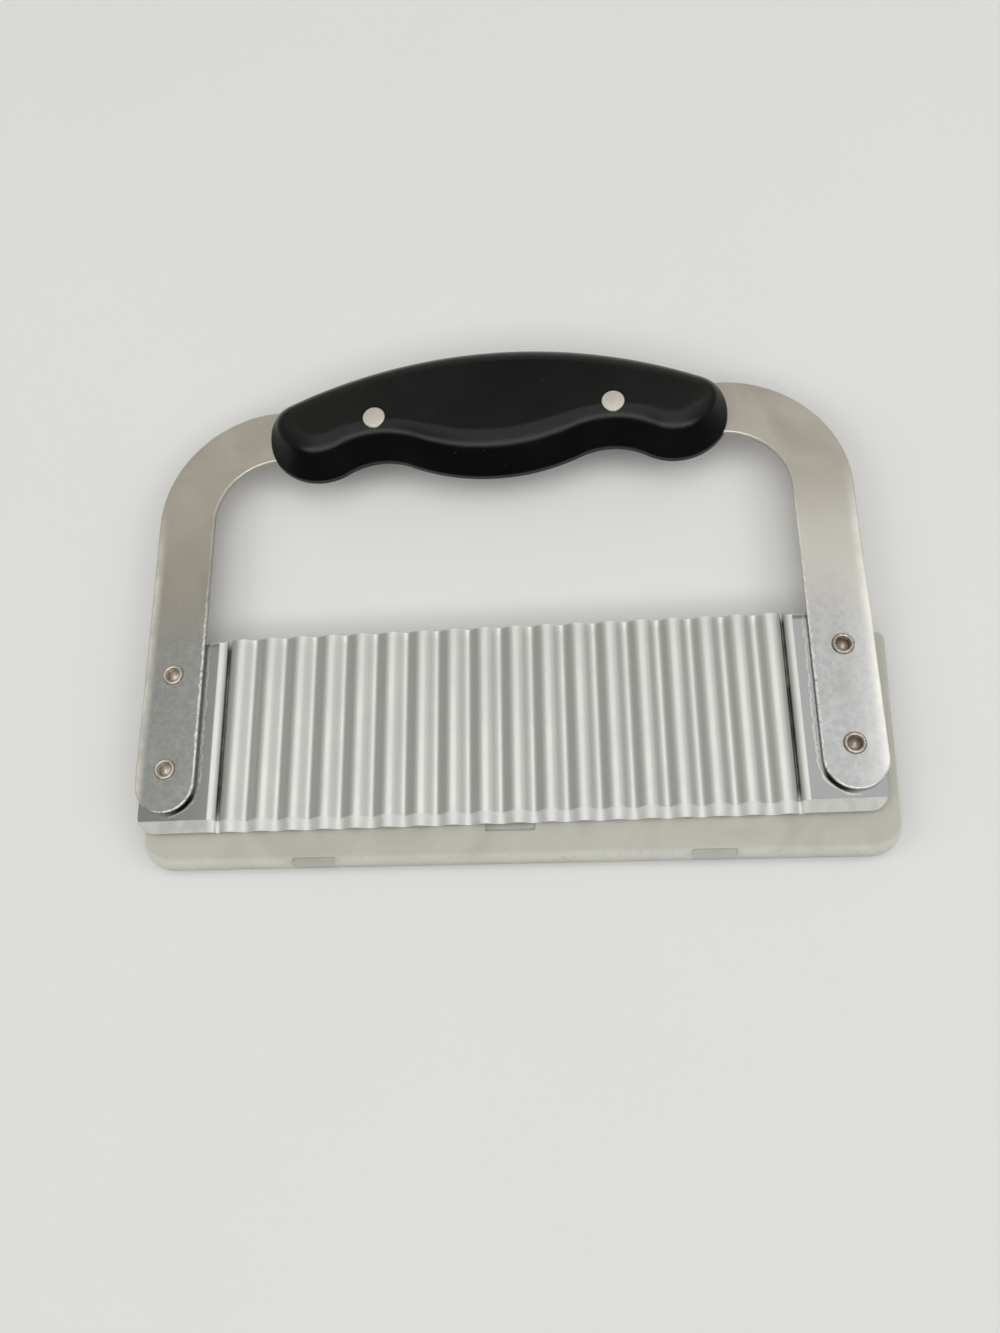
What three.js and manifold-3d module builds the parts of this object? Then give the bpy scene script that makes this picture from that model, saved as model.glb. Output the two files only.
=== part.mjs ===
// Crinkle cutter: a bow of flat steel bar carries a corrugated blade between its legs and a two-scale
// grip on its top bar. A loose plastic guard lies under the blade, as it does on a table.
// Millimetres, +Z up from the table. X runs along the blade, Y from the cutting edge to the grip.
// The origin is on the table, under the middle of the lower pair of blade rivets.

import * as THREE from 'three';
import { mergeVertices } from 'three/addons/utils/BufferGeometryUtils.js';
import Module from 'manifold-3d';

const wasm = await Module();
wasm.setup();

// Bow frame
const FRAME_WIDTH = 180;
const FRAME_HEIGHT = 99;         // lower rivets to the top of the bar
const BAR_WIDTH = 15;
const BAR_THICKNESS = 1.6;
const FRAME_CORNER = 32;         // outside radius of the two upper bends
const LEG_TAIL = 10.8;           // lower rivets to the round end of a leg

// Corrugated blade
const SHEET = 0.6;
const BLADE_HEIGHT = 49.3;
const BLADE_DROP = 15.5;         // lower rivets to the cutting edge
const WAVE_PITCH = 7.8;
const WAVE_DEPTH = 1.4;
const WAVE_FLATNESS = 0.1;       // flattens the crests and tightens the valleys
const END_RISE = 2.8;            // last valley to the flat tab
const END_WALL = 0.8;            // steep part of that, close beside the valley
const END_SLOPE_DROP = 0.55;     // height of the gentle slope between the steep part and the tab
const TAB_FLAT = 1.5;            // least flat strip that shows beside a leg
const TAB_INSET = 1;             // leg outside to tab outside
const TAB_CORNER = 4.5;
const TAB_TOP_TRIM = 0.6;        // the tabs stop this much lower than the corrugated part
const BEVEL_HEIGHT = 2.8;
const EDGE_THICKNESS = 0.15;

// Blade rivets, semi-tubular, rolled over at the front
const RIVET_SPACING = 24.4;
const RIVET_SHANK = 3.6;
const RIVET_CLEARANCE = 0.3;     // all round the shank
const ROLL_DIAMETER = 5.4;
const ROLL_HEIGHT = 0.7;
const CUP_DIAMETER = 3.2;
const CUP_FLOOR = 2.7;           // diameter at the bottom of the cup
const CUP_DEPTH = 0.6;           // below the bar's front face
const PIP_HEIGHT = 0.3;          // raised middle of the cup's floor
const HEAD_DIAMETER = 6.8;
const HEAD_FLAT = 2.6;           // diameter of the flat on the head
const HEAD_HEIGHT = 1;

// Grip: two scales clamped on the top bar
const GRIP_LENGTH = 120.3;
const GRIP_CROWN = 18.4;         // bar centre line to the crown
const GRIP_BELLY = 15.3;         // bar centre line to the belly
const CROWN_RADIUS = 130;
const BELLY_RADIUS = 54;
const GROOVE_SPACING = 60;
const GROOVE_RADIUS = 18.2;
const BUMP_RADIUS = 14.5;
const GRIP_END_RADIUS = 10.1;
const GRIP_ROUNDING = 5.5;       // along the crown
const FINGER_SHOULDER = 5.2;     // rounding between the face and the finger slope
const FINGER_RUN = 4.8;          // straight part of the finger slope
const FINGER_SLOPE = 52;         // degrees from the face
const FINGER_NOSE = 2.8;         // rounding between the finger slope and the upright side
const GROOVE_SHARE = 0.8;        // how far the slope reaches in at the grooves
const SIDE_BLEND = 0.45;         // stretch of an end where the crown's section turns into the fingers'
const TANG_CLEARANCE = 0.2;

// Grip rivets: a socket half from the front, a pin half from the back
const GRIP_RIVET_SPACING = 62.2;
const GRIP_RIVET_DROP = 1.1;     // bar centre line to the rivets
const CAP_DIAMETER = 6;
const CAP_THICKNESS = 1.5;
const SOCKET_DIAMETER = 3.6;
const SOCKET_BORE = 2.5;
const PIN_DIAMETER = 2;
const SOCKET_SHORTFALL = 1;      // gap between the socket's open end and the pin half's cap
const CAP_CLEARANCE = 0.2;

// Blade guard: a flat sleeve, open along its mouth and at both ends
const GUARD_WALL = 0.7;
const GUARD_WEB = 2.4;           // wall along the closed edge
const GUARD_DEPTH = 53.5;
const GUARD_OVERHANG = 1;        // mouth beyond each leg
const GUARD_TAPER = 1.5;         // each side draws in this much towards the closed edge
const GUARD_CORNER = 7;
const GUARD_MOUTH_CORNER = 2;
const GUARD_EDGE_ROUND = 2.5;
const GUARD_CLEARANCE = 0.2;     // spare height in the pocket
const GUARD_LEAD = 8.8;          // closed edge ahead of the cutting edge, as it lies
const GUARD_SHIFT = 1.9;         // sideways, as it lies
const GUARD_TURN = -0.46;        // degrees, as it lies
const REST_GAP = 0.3;            // blade above the guard
const NOTCH_SPACING = 94.5;
const NOTCH_LENGTH = 10.4;
const NOTCH_WIDTH = 2;           // in from the closed edge
const NOTCH_DEPTH = 1.6;         // down from the upper face
const WINDOW_LENGTH = 12;
const WINDOW_WIDTH = 3;
const WINDOW_INSET = 8.3;        // closed edge to the window

// Facets stay this close to the true curve
const FACET_SAG = 0.05;
const RIVET_SIDES = 20;
const PROFILE_STEPS = 5;         // facets in a rounded stretch of a turned profile
const WAVE_STEPS = 8;            // facets in one pitch
const WALL_STEPS = 4;            // facets in the steep part of a blade end
const SECTION_STEPS = 4;         // facets in a rounding of the finger side
const FILLET_SHARE = 0.45;       // most of a thickness that an edge rounding may take

// Heights above the table, with the blade resting on the guard and the grip on its back
const REAR_REACH = SHEET + Math.max(WAVE_DEPTH, HEAD_HEIGHT);
const POCKET_HEIGHT = ROLL_HEIGHT + BAR_THICKNESS + REAR_REACH + GUARD_CLEARANCE;
const GUARD_HEIGHT = POCKET_HEIGHT + 2 * GUARD_WALL;
const BAR_MIDDLE = GUARD_HEIGHT + REST_GAP + REAR_REACH + BAR_THICKNESS / 2;
const GRIP_THICKNESS = 2 * BAR_MIDDLE;

// Places that several pieces share, in the frame's own plane
const LEG_X = (FRAME_WIDTH - BAR_WIDTH) / 2;
const BAR_Y = FRAME_HEIGHT - BAR_WIDTH / 2;
const BAR_FRONT = BAR_THICKNESS / 2;
const BAR_BACK = -BAR_THICKNESS / 2;
const BLADE_EDGE = -BLADE_DROP;
const BLADE_TOP = BLADE_EDGE + BLADE_HEIGHT;
const TAB_END = FRAME_WIDTH / 2 - TAB_INSET;
const WAVE_ROOM = FRAME_WIDTH - 2 * (BAR_WIDTH + END_RISE + TAB_FLAT);
const CREST_COUNT = Math.floor(WAVE_ROOM / WAVE_PITCH);
const END_VALLEY = CREST_COUNT * WAVE_PITCH / 2;
const RIVET_HOLE = RIVET_SHANK + 2 * RIVET_CLEARANCE;
const SOCKET_HOLE = SOCKET_DIAMETER + 2 * RIVET_CLEARANCE;
const GRIP_RIVET_X = GRIP_RIVET_SPACING / 2;
const GRIP_RIVET_Y = BAR_Y - GRIP_RIVET_DROP;
const THROUGH = 2 * GRIP_THICKNESS;  // long enough for any cut to pass right through

const steel = { color: 0xa5a094, roughness: 0.4, metalness: 1 };
const bladeSteel = { color: 0xc8cbc8, roughness: 0.25, metalness: 1 };
const rivetMetal = { color: 0x9a8c7c, roughness: 0.35, metalness: 1 };
const capMetal = { color: 0xcdc8b9, roughness: 0.45, metalness: 0.6 };
const blackPlastic = { color: 0x1e1e1f, roughness: 0.5, metalness: 0 };
const frosted = { color: 0xc4c4ba, roughness: 0.55, metalness: 0, transparent: true, opacity: 0.75 };

// Solids: geometry to a cuttable body and back
function solid(geometry) {
  const bare = geometry.clone();
  bare.deleteAttribute('normal');
  bare.deleteAttribute('uv');
  const merged = mergeVertices(bare);
  return new wasm.Manifold(new wasm.Mesh({
    numProp: 3,
    vertProperties: Float32Array.from(merged.attributes.position.array),
    triVerts: Uint32Array.from(merged.index.array),
  }));
}

function geometryOf(body) {
  const { vertProperties, triVerts } = body.getMesh();
  const geometry = new THREE.BufferGeometry();
  geometry.setAttribute('position', new THREE.BufferAttribute(vertProperties, 3));
  geometry.setIndex(new THREE.BufferAttribute(triVerts, 1));
  geometry.computeVertexNormals();
  return geometry;
}

function piece(name, geometry, finish) {
  const mesh = new THREE.Mesh(geometry, new THREE.MeshStandardMaterial(finish));
  mesh.name = name;
  return mesh;
}

// Flat outline, extruded between two heights
function slab(outline, low, high) {
  const geometry = new THREE.ExtrudeGeometry(outline, { depth: high - low, bevelEnabled: false });
  return geometry.translate(0, 0, low);
}

function rod(diameter, x, y, low, high) {
  const geometry = new THREE.CylinderGeometry(diameter / 2, diameter / 2, high - low, RIVET_SIDES);
  return geometry.rotateX(Math.PI / 2).translate(x, y, (low + high) / 2);
}

// Points along an arc, without its last one, which the next stretch of an outline starts with
function arc(centre, radius, from, to) {
  const step = 2 * Math.acos(1 - FACET_SAG / Math.max(radius, 2 * FACET_SAG));
  const count = Math.max(2, Math.ceil(Math.abs(to - from) / step));
  return Array.from({ length: count }, (_, i) => {
    const angle = from + (to - from) * i / count;
    return new THREE.Vector2(centre.x + radius * Math.cos(angle), centre.y + radius * Math.sin(angle));
  });
}

function point(x, y) {
  return new THREE.Vector2(x, y);
}

function circlePath(x, y, diameter) {
  const path = new THREE.Path();
  path.setFromPoints(arc(point(x, y), diameter / 2, 0, -2 * Math.PI));
  return path;
}

// The blade rivets' centres, by name
const bladeRivets = [-1, 1].flatMap((side) => [0, RIVET_SPACING].map((y) => ({
  name: `blade_rivet_${side < 0 ? 'left' : 'right'}_${y > 0 ? 'top' : 'bottom'}`,
  x: side * LEG_X,
  y,
})));

// Bow frame: outline of the bent bar, widened by grow on every side
function bowOutline(grow) {
  const half = FRAME_WIDTH / 2;
  const bend = { x: half - FRAME_CORNER, y: FRAME_HEIGHT - FRAME_CORNER };
  const tail = { x: LEG_X, y: BAR_WIDTH / 2 - LEG_TAIL };
  const outer = FRAME_CORNER + grow;
  const inner = FRAME_CORNER - BAR_WIDTH - grow;
  const end = BAR_WIDTH / 2 + grow;
  const leftBend = point(-bend.x, bend.y);
  const leftTail = point(-tail.x, tail.y);
  return new THREE.Shape([
    ...arc(tail, end, -Math.PI, 0),
    ...arc(bend, outer, 0, Math.PI / 2),
    ...arc(leftBend, outer, Math.PI / 2, Math.PI),
    ...arc(leftTail, end, -Math.PI, 0),
    ...arc(leftBend, inner, Math.PI, Math.PI / 2),
    ...arc(bend, inner, Math.PI / 2, 0),
    point(bend.x + inner, bend.y),
  ]);
}

function bowFrame() {
  const outline = bowOutline(0);
  for (const rivet of bladeRivets) {
    outline.holes.push(circlePath(rivet.x, rivet.y, RIVET_HOLE));
  }
  for (const side of [-1, 1]) {
    outline.holes.push(circlePath(side * GRIP_RIVET_X, GRIP_RIVET_Y, SOCKET_HOLE));
  }
  return slab(outline, BAR_BACK, BAR_FRONT);
}

// Corrugated blade: height of the front face below the tabs, and its slope
function wave(x) {
  const beyond = Math.abs(x) - END_VALLEY;
  if (beyond > END_RISE - FACET_SAG) return { z: 0, slope: 0 };
  if (beyond >= END_WALL) {
    const incline = END_SLOPE_DROP / (END_RISE - END_WALL);
    return { z: incline * (beyond - END_RISE), slope: Math.sign(x) * incline };
  }
  if (beyond > 0) {
    const turn = Math.PI * beyond / END_WALL;
    const half = (WAVE_DEPTH - END_SLOPE_DROP) / 2;
    const climb = Math.sign(x) * half * Math.PI / END_WALL;
    return { z: half * (1 - Math.cos(turn)) - WAVE_DEPTH, slope: climb * Math.sin(turn) };
  }
  const phase = 2 * Math.PI * (x + END_VALLEY) / WAVE_PITCH + Math.PI;
  const lift = Math.cos(phase) - WAVE_FLATNESS * Math.cos(2 * phase) - (1 - WAVE_FLATNESS);
  const fall = -Math.sin(phase) + 2 * WAVE_FLATNESS * Math.sin(2 * phase);
  return { z: WAVE_DEPTH / 2 * lift, slope: WAVE_DEPTH * Math.PI / WAVE_PITCH * fall };
}

// One section of the sheet, from the top edge down the ground front and up the back
function sheetSection(x) {
  const { z, slope } = wave(x);
  const front = BAR_BACK + z;
  const back = Math.max(front - SHEET * Math.hypot(1, slope), BAR_BACK - WAVE_DEPTH - SHEET);
  const edge = back + EDGE_THICKNESS;
  return [
    [x, BLADE_TOP, front],
    [x, BLADE_EDGE + BEVEL_HEIGHT, front],
    [x, BLADE_EDGE, edge],
    [x, BLADE_EDGE, back],
    [x, BLADE_TOP, back],
  ];
}

// Skin over a row of like sections, with the given triangles closing both ends
function loft(sections, ends) {
  const size = sections[0].length;
  const faces = [];
  for (let i = 0; i + 1 < sections.length; i += 1) {
    for (let j = 0; j < size; j += 1) {
      const a = i * size + j;
      const b = i * size + (j + 1) % size;
      faces.push(a, b, b + size, a, b + size, a + size);
    }
  }
  const last = (sections.length - 1) * size;
  for (const [a, b, c] of ends) {
    faces.push(a, c, b, last + a, last + b, last + c);
  }
  const geometry = new THREE.BufferGeometry();
  geometry.setAttribute('position', new THREE.Float32BufferAttribute(sections.flat(2), 3));
  geometry.setIndex(faces);
  return geometry;
}

function corrugatedBlade() {
  const waves = Array.from({ length: CREST_COUNT * WAVE_STEPS + 1 },
    (_, i) => i * WAVE_PITCH / WAVE_STEPS - END_VALLEY);
  const wall = Array.from({ length: WALL_STEPS }, (_, i) => END_VALLEY + END_WALL * (i + 1) / WALL_STEPS);
  const right = [...wall, END_VALLEY + END_RISE, TAB_END + TAB_INSET];
  const left = right.map((x) => -x).reverse();
  const sections = [...left, ...waves, ...right].map(sheetSection);
  const fan = Array.from({ length: sections[0].length - 2 }, (_, i) => [0, i + 1, i + 2]);
  const sheet = solid(loft(sections, fan));

  const step = END_VALLEY + END_RISE / 2;
  const corner = TAB_END - TAB_CORNER;
  const cornerY = BLADE_EDGE + TAB_CORNER;
  const tabTop = BLADE_TOP - TAB_TOP_TRIM;
  const above = BLADE_TOP + BLADE_HEIGHT;
  const outline = new THREE.Shape([
    ...arc(point(-corner, cornerY), TAB_CORNER, Math.PI, 1.5 * Math.PI),
    ...arc(point(corner, cornerY), TAB_CORNER, 1.5 * Math.PI, 2 * Math.PI),
    point(TAB_END, cornerY),
    point(TAB_END, tabTop),
    point(step, tabTop),
    point(step, above),
    point(-step, above),
    point(-step, tabTop),
    point(-TAB_END, tabTop),
  ]);
  let blade = sheet.intersect(solid(slab(outline, -THROUGH, THROUGH)));
  for (const { x, y } of bladeRivets) {
    blade = blade.subtract(solid(rod(RIVET_HOLE, x, y, -THROUGH, THROUGH)));
  }
  return geometryOf(blade);
}

// A turned piece on the Z axis from a profile of radius and height
function turned(profile) {
  const points = profile.map(([radius, height]) => point(radius, height));
  return new THREE.LatheGeometry(points, RIVET_SIDES).rotateX(Math.PI / 2);
}

// Points along a stretch of an ellipse in a turned profile
function ellipse(radius, height, wide, high, from, to) {
  return Array.from({ length: PROFILE_STEPS + 1 }, (_, i) => {
    const angle = from + (to - from) * i / PROFILE_STEPS;
    return [radius + wide * Math.cos(angle), height + high * Math.sin(angle)];
  });
}

// Blade rivet: low head behind the tab, shank through tab and leg, hollow end rolled over in front
function bladeRivet() {
  const seat = BAR_BACK - SHEET;
  const floor = BAR_FRONT - CUP_DEPTH;
  const headRound = (HEAD_DIAMETER - HEAD_FLAT) / 2;
  const rollMiddle = (ROLL_DIAMETER + CUP_DIAMETER) / 4;
  const rollBulge = (ROLL_DIAMETER - CUP_DIAMETER) / 4;
  return turned([
    [0, seat - HEAD_HEIGHT],
    ...ellipse(HEAD_FLAT / 2, seat, headRound, HEAD_HEIGHT, -Math.PI / 2, 0),
    [RIVET_SHANK / 2, seat],
    [RIVET_SHANK / 2, BAR_FRONT],
    ...ellipse(rollMiddle, BAR_FRONT, rollBulge, ROLL_HEIGHT, 0, Math.PI),
    [CUP_FLOOR / 2, floor],
    [CUP_FLOOR / 4, floor + PIP_HEIGHT],
    [0, floor + PIP_HEIGHT],
  ]);
}

// Grip outline: a chain of tangent arcs, crown, end, bump, groove and belly, alike on both sides.
// Each point comes with its outward direction.
function gripOutline() {
  const crown = point(0, BAR_Y + GRIP_CROWN - CROWN_RADIUS);
  const belly = point(0, BAR_Y - GRIP_BELLY + BELLY_RADIUS);
  const grooveX = GROOVE_SPACING / 2;
  const groove = point(grooveX, belly.y - Math.sqrt((BELLY_RADIUS + GROOVE_RADIUS) ** 2 - grooveX ** 2));
  const endX = GRIP_LENGTH / 2 - GRIP_END_RADIUS;
  const end = point(endX, crown.y + Math.sqrt((CROWN_RADIUS - GRIP_END_RADIUS) ** 2 - endX ** 2));
  const bump = meet(groove, GROOVE_RADIUS + BUMP_RADIUS, end, BUMP_RADIUS - GRIP_END_RADIUS);

  const fromBelly = groove.clone().sub(belly).angle() - 2 * Math.PI;
  const fromGroove = bump.clone().sub(groove).angle();
  const fromBump = end.clone().sub(bump).angle() - 2 * Math.PI;
  const fromCrown = end.clone().sub(crown).angle();
  const right = [
    [belly, BELLY_RADIUS, -Math.PI / 2, fromBelly],
    [groove, GROOVE_RADIUS, fromBelly + Math.PI, fromGroove],
    [bump, BUMP_RADIUS, fromGroove - Math.PI, fromBump],
    [end, GRIP_END_RADIUS, fromBump, fromCrown],
    [crown, CROWN_RADIUS, fromCrown, Math.PI / 2],
  ];
  const left = right.map(([centre, radius, from, to]) => [
    point(-centre.x, centre.y), radius, Math.PI - to, Math.PI - from,
  ]).reverse();
  return [...right, ...left].flatMap(([centre, radius, from, to]) => {
    const side = Math.sign(to - from);
    return arc(centre, radius, from, to).map((place) => (
      { place, out: place.clone().sub(centre).multiplyScalar(side / radius) }
    ));
  });
}

// The higher point at given distances from two centres
function meet(a, reachA, b, reachB) {
  const apart = a.distanceTo(b);
  const along = (apart ** 2 + reachA ** 2 - reachB ** 2) / (2 * apart);
  const aside = Math.sqrt(reachA ** 2 - along ** 2);
  const way = b.clone().sub(a).normalize();
  return point(a.x + along * way.x - aside * way.y, a.y + along * way.y + aside * way.x);
}

// A rounding in a section of the grip, as points of inset and height
function rounding(radius, inset, height, from, to, steps) {
  return Array.from({ length: steps + 1 }, (_, i) => {
    const tilt = from + (to - from) * i / steps;
    return [inset - radius * Math.sin(tilt), height + radius * Math.cos(tilt)];
  });
}

// Sections of the grip's two sides, from the parting plane out to the face
function gripSections() {
  const half = GRIP_THICKNESS / 2;
  const room = 2 * FILLET_SHARE * Math.min(half, GRIP_END_RADIUS);
  const slope = THREE.MathUtils.degToRad(FINGER_SLOPE);
  const [along, down] = [Math.cos(slope), Math.sin(slope)];
  const tall = FINGER_SHOULDER * (1 - along) + FINGER_RUN * down + FINGER_NOSE * along;
  const deep = FINGER_SHOULDER * down + FINGER_RUN * along + FINGER_NOSE * (1 - down);
  const fit = Math.min(1, room / Math.max(tall, deep));
  const shoulder = fit * FINGER_SHOULDER;
  const nose = fit * FINGER_NOSE;
  const top = Math.min(GRIP_ROUNDING, room);
  return {
    crown: rounding(top, top, half - top, Math.PI / 2, 0, 2 * SECTION_STEPS + 1),
    finger: [
      ...rounding(nose, nose, half - fit * tall, Math.PI / 2, slope, SECTION_STEPS),
      ...rounding(shoulder, fit * deep, half - shoulder, slope, 0, SECTION_STEPS),
    ],
  };
}

// The grip as one body: rings from the back face to the front face, inset by the local section
function gripBody() {
  const { lerp, smoothstep } = THREE.MathUtils;
  const { crown, finger } = gripSections();
  const outline = gripOutline().map(({ place, out }) => {
    const share = smoothstep(-out.y, -SIDE_BLEND, SIDE_BLEND);
    const off = Math.abs(Math.abs(place.x) - GROOVE_SPACING / 2);
    const reach = lerp(GROOVE_SHARE, 1, smoothstep(off, 0, GROOVE_SPACING / 4));
    const section = finger.map(([inset, height], i) => [
      lerp(crown[i][0], reach * inset, share),
      lerp(crown[i][1], height, share),
    ]);
    return { place, out, section };
  });
  const ring = (level, side) => outline.map(({ place, out, section }) => {
    const [inset, height] = section[level];
    return [place.x - inset * out.x, place.y - inset * out.y, side * height];
  });
  const front = crown.map((_, level) => ring(level, 1));
  const back = crown.map((_, level) => ring(level, -1)).reverse();
  const rings = [...back, ...front];
  const face = rings[0].map(([x, y]) => point(x, y));
  return loft(rings, THREE.ShapeUtils.triangulateShape(face, []));
}

// Both scales start as one blank, with the bar's slot and the rivets' stepped holes cut away
function gripBlank() {
  let blank = solid(gripBody()).subtract(solid(slab(bowOutline(TANG_CLEARANCE), BAR_BACK, BAR_FRONT)));
  const capSeat = GRIP_THICKNESS / 2 - CAP_THICKNESS;
  const capHole = CAP_DIAMETER + 2 * CAP_CLEARANCE;
  for (const side of [-1, 1]) {
    const x = side * GRIP_RIVET_X;
    blank = blank
      .subtract(solid(rod(SOCKET_HOLE, x, GRIP_RIVET_Y, -THROUGH, THROUGH)))
      .subtract(solid(rod(capHole, x, GRIP_RIVET_Y, capSeat, THROUGH)))
      .subtract(solid(rod(capHole, x, GRIP_RIVET_Y, -THROUGH, -capSeat)));
  }
  return blank;
}

function gripScale(blank, low, high) {
  const half = new THREE.BoxGeometry(2 * GRIP_LENGTH, 2 * GRIP_LENGTH, high - low);
  half.translate(0, BAR_Y, (low + high) / 2);
  return geometryOf(blank.intersect(solid(half)));
}

// Grip rivet: the socket half's tube reaches down from its cap, the pin half's pin stands up inside it
function socketHalf() {
  const cap = CAP_DIAMETER / 2;
  const tube = SOCKET_DIAMETER / 2;
  const bore = SOCKET_BORE / 2;
  const top = GRIP_THICKNESS / 2;
  const seat = top - CAP_THICKNESS;
  const mouth = -seat + SOCKET_SHORTFALL;
  return turned([
    [0, seat],
    [bore, seat],
    [bore, mouth],
    [tube, mouth],
    [tube, seat],
    [cap, seat],
    [cap, top],
    [0, top],
  ]);
}

function pinHalf() {
  const cap = CAP_DIAMETER / 2;
  const pin = PIN_DIAMETER / 2;
  const bottom = -GRIP_THICKNESS / 2;
  const seat = bottom + CAP_THICKNESS;
  const tip = -seat - SOCKET_SHORTFALL;
  return turned([
    [0, bottom],
    [cap, bottom],
    [cap, seat],
    [pin, seat],
    [pin, tip - pin / 2],
    [pin / 2, tip],
    [0, tip],
  ]);
}

// Blade guard, with its closed edge along Y = 0 and its back on the table
function guardPlan() {
  const mouth = FRAME_WIDTH / 2 + GUARD_OVERHANG;
  const closed = mouth - GUARD_TAPER;
  const corner = closed - GUARD_CORNER;
  const lip = mouth - GUARD_MOUTH_CORNER;
  const lipY = GUARD_DEPTH - GUARD_MOUTH_CORNER;
  return new THREE.Shape([
    ...arc(point(-corner, GUARD_CORNER), GUARD_CORNER, Math.PI, 1.5 * Math.PI),
    ...arc(point(corner, GUARD_CORNER), GUARD_CORNER, 1.5 * Math.PI, 2 * Math.PI),
    point(closed, GUARD_CORNER),
    ...arc(point(lip, lipY), GUARD_MOUTH_CORNER, 0, Math.PI / 2),
    point(lip, GUARD_DEPTH),
    ...arc(point(-lip, lipY), GUARD_MOUTH_CORNER, Math.PI / 2, Math.PI),
    point(-mouth, lipY),
  ]);
}

// The pocket follows the closed edge and its corners, and runs out at the mouth and the ends
function pocketPlan() {
  const closed = FRAME_WIDTH / 2 + GUARD_OVERHANG - GUARD_TAPER;
  const corner = closed - GUARD_CORNER;
  const inner = GUARD_CORNER - GUARD_WEB;
  const outside = FRAME_WIDTH;
  const beyond = 2 * GUARD_DEPTH;
  return new THREE.Shape([
    ...arc(point(-corner, GUARD_CORNER), inner, Math.PI, 1.5 * Math.PI),
    ...arc(point(corner, GUARD_CORNER), inner, 1.5 * Math.PI, 2 * Math.PI),
    point(corner + inner, GUARD_CORNER),
    point(outside, GUARD_CORNER),
    point(outside, beyond),
    point(-outside, beyond),
    point(-outside, GUARD_CORNER),
  ]);
}

// End view of the guard's outside, rounded along the closed edge, swept along X
function guardSweep() {
  const round = Math.min(GUARD_EDGE_ROUND, FILLET_SHARE * GUARD_HEIGHT);
  const profile = new THREE.Shape([
    ...arc(point(round, round), round, -Math.PI, -Math.PI / 2),
    point(round, 0),
    point(2 * GUARD_DEPTH, 0),
    point(2 * GUARD_DEPTH, GUARD_HEIGHT),
    ...arc(point(round, GUARD_HEIGHT - round), round, Math.PI / 2, Math.PI),
    point(0, GUARD_HEIGHT - round),
  ]);
  return slab(profile, -FRAME_WIDTH, FRAME_WIDTH).rotateX(Math.PI / 2).rotateZ(Math.PI / 2);
}

// A rectangular cut into the upper face
function faceCut(x, length, near, far, depth) {
  const box = new THREE.BoxGeometry(length, far - near, 2 * depth);
  return solid(box.translate(x, (near + far) / 2, GUARD_HEIGHT));
}

function bladeGuard() {
  const pocket = slab(pocketPlan(), GUARD_WALL, GUARD_HEIGHT - GUARD_WALL);
  const outside = solid(slab(guardPlan(), 0, GUARD_HEIGHT)).intersect(solid(guardSweep()));
  let guard = outside
    .subtract(solid(pocket))
    .subtract(faceCut(0, WINDOW_LENGTH, WINDOW_INSET, WINDOW_INSET + WINDOW_WIDTH, 2 * GUARD_WALL));
  for (const side of [-1, 1]) {
    const x = side * NOTCH_SPACING / 2;
    guard = guard.subtract(faceCut(x, NOTCH_LENGTH, -NOTCH_WIDTH, NOTCH_WIDTH, NOTCH_DEPTH));
  }
  return geometryOf(guard);
}

// Assembly
const cutter = new THREE.Group();
cutter.position.z = BAR_MIDDLE;
cutter.add(piece('bow_frame', bowFrame(), steel));
cutter.add(piece('corrugated_blade', corrugatedBlade(), bladeSteel));
for (const { name, x, y } of bladeRivets) {
  const rivet = piece(name, bladeRivet(), rivetMetal);
  rivet.position.set(x, y, 0);
  cutter.add(rivet);
}

const blank = gripBlank();
cutter.add(piece('grip_front_scale', gripScale(blank, 0, GRIP_THICKNESS), blackPlastic));
cutter.add(piece('grip_back_scale', gripScale(blank, -GRIP_THICKNESS, 0), blackPlastic));
for (const side of [-1, 1]) {
  const hand = side < 0 ? 'left' : 'right';
  const socket = piece(`grip_rivet_${hand}_socket`, socketHalf(), capMetal);
  const pin = piece(`grip_rivet_${hand}_pin`, pinHalf(), capMetal);
  for (const half of [socket, pin]) {
    half.position.set(side * GRIP_RIVET_X, GRIP_RIVET_Y, 0);
    cutter.add(half);
  }
}

const guard = piece('blade_guard', bladeGuard(), frosted);
guard.position.set(GUARD_SHIFT, BLADE_EDGE - GUARD_LEAD, 0);
guard.rotation.z = THREE.MathUtils.degToRad(GUARD_TURN);

const crinkleCutter = new THREE.Group();
crinkleCutter.add(cutter, guard);

export default crinkleCutter;
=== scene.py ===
# %% [markdown]
# # A crinkle cutter in Blender
#
# The cutter is a flat steel bar bent into a bow, with a black two-part grip on its top, a
# corrugated blade riveted across its legs, and a loose milky guard that the blade lies on.
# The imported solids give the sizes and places. Each piece here is a finer model of one of them,
# in the same frame and in metres, so nothing has to be fitted afterwards.

from math import acos, atan2, ceil, cos, degrees, hypot, pi, radians, sin, sqrt
from types import SimpleNamespace

import bmesh
import bpy
from mathutils import Matrix, Vector, noise
from mathutils.geometry import delaunay_2d_cdt


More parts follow.
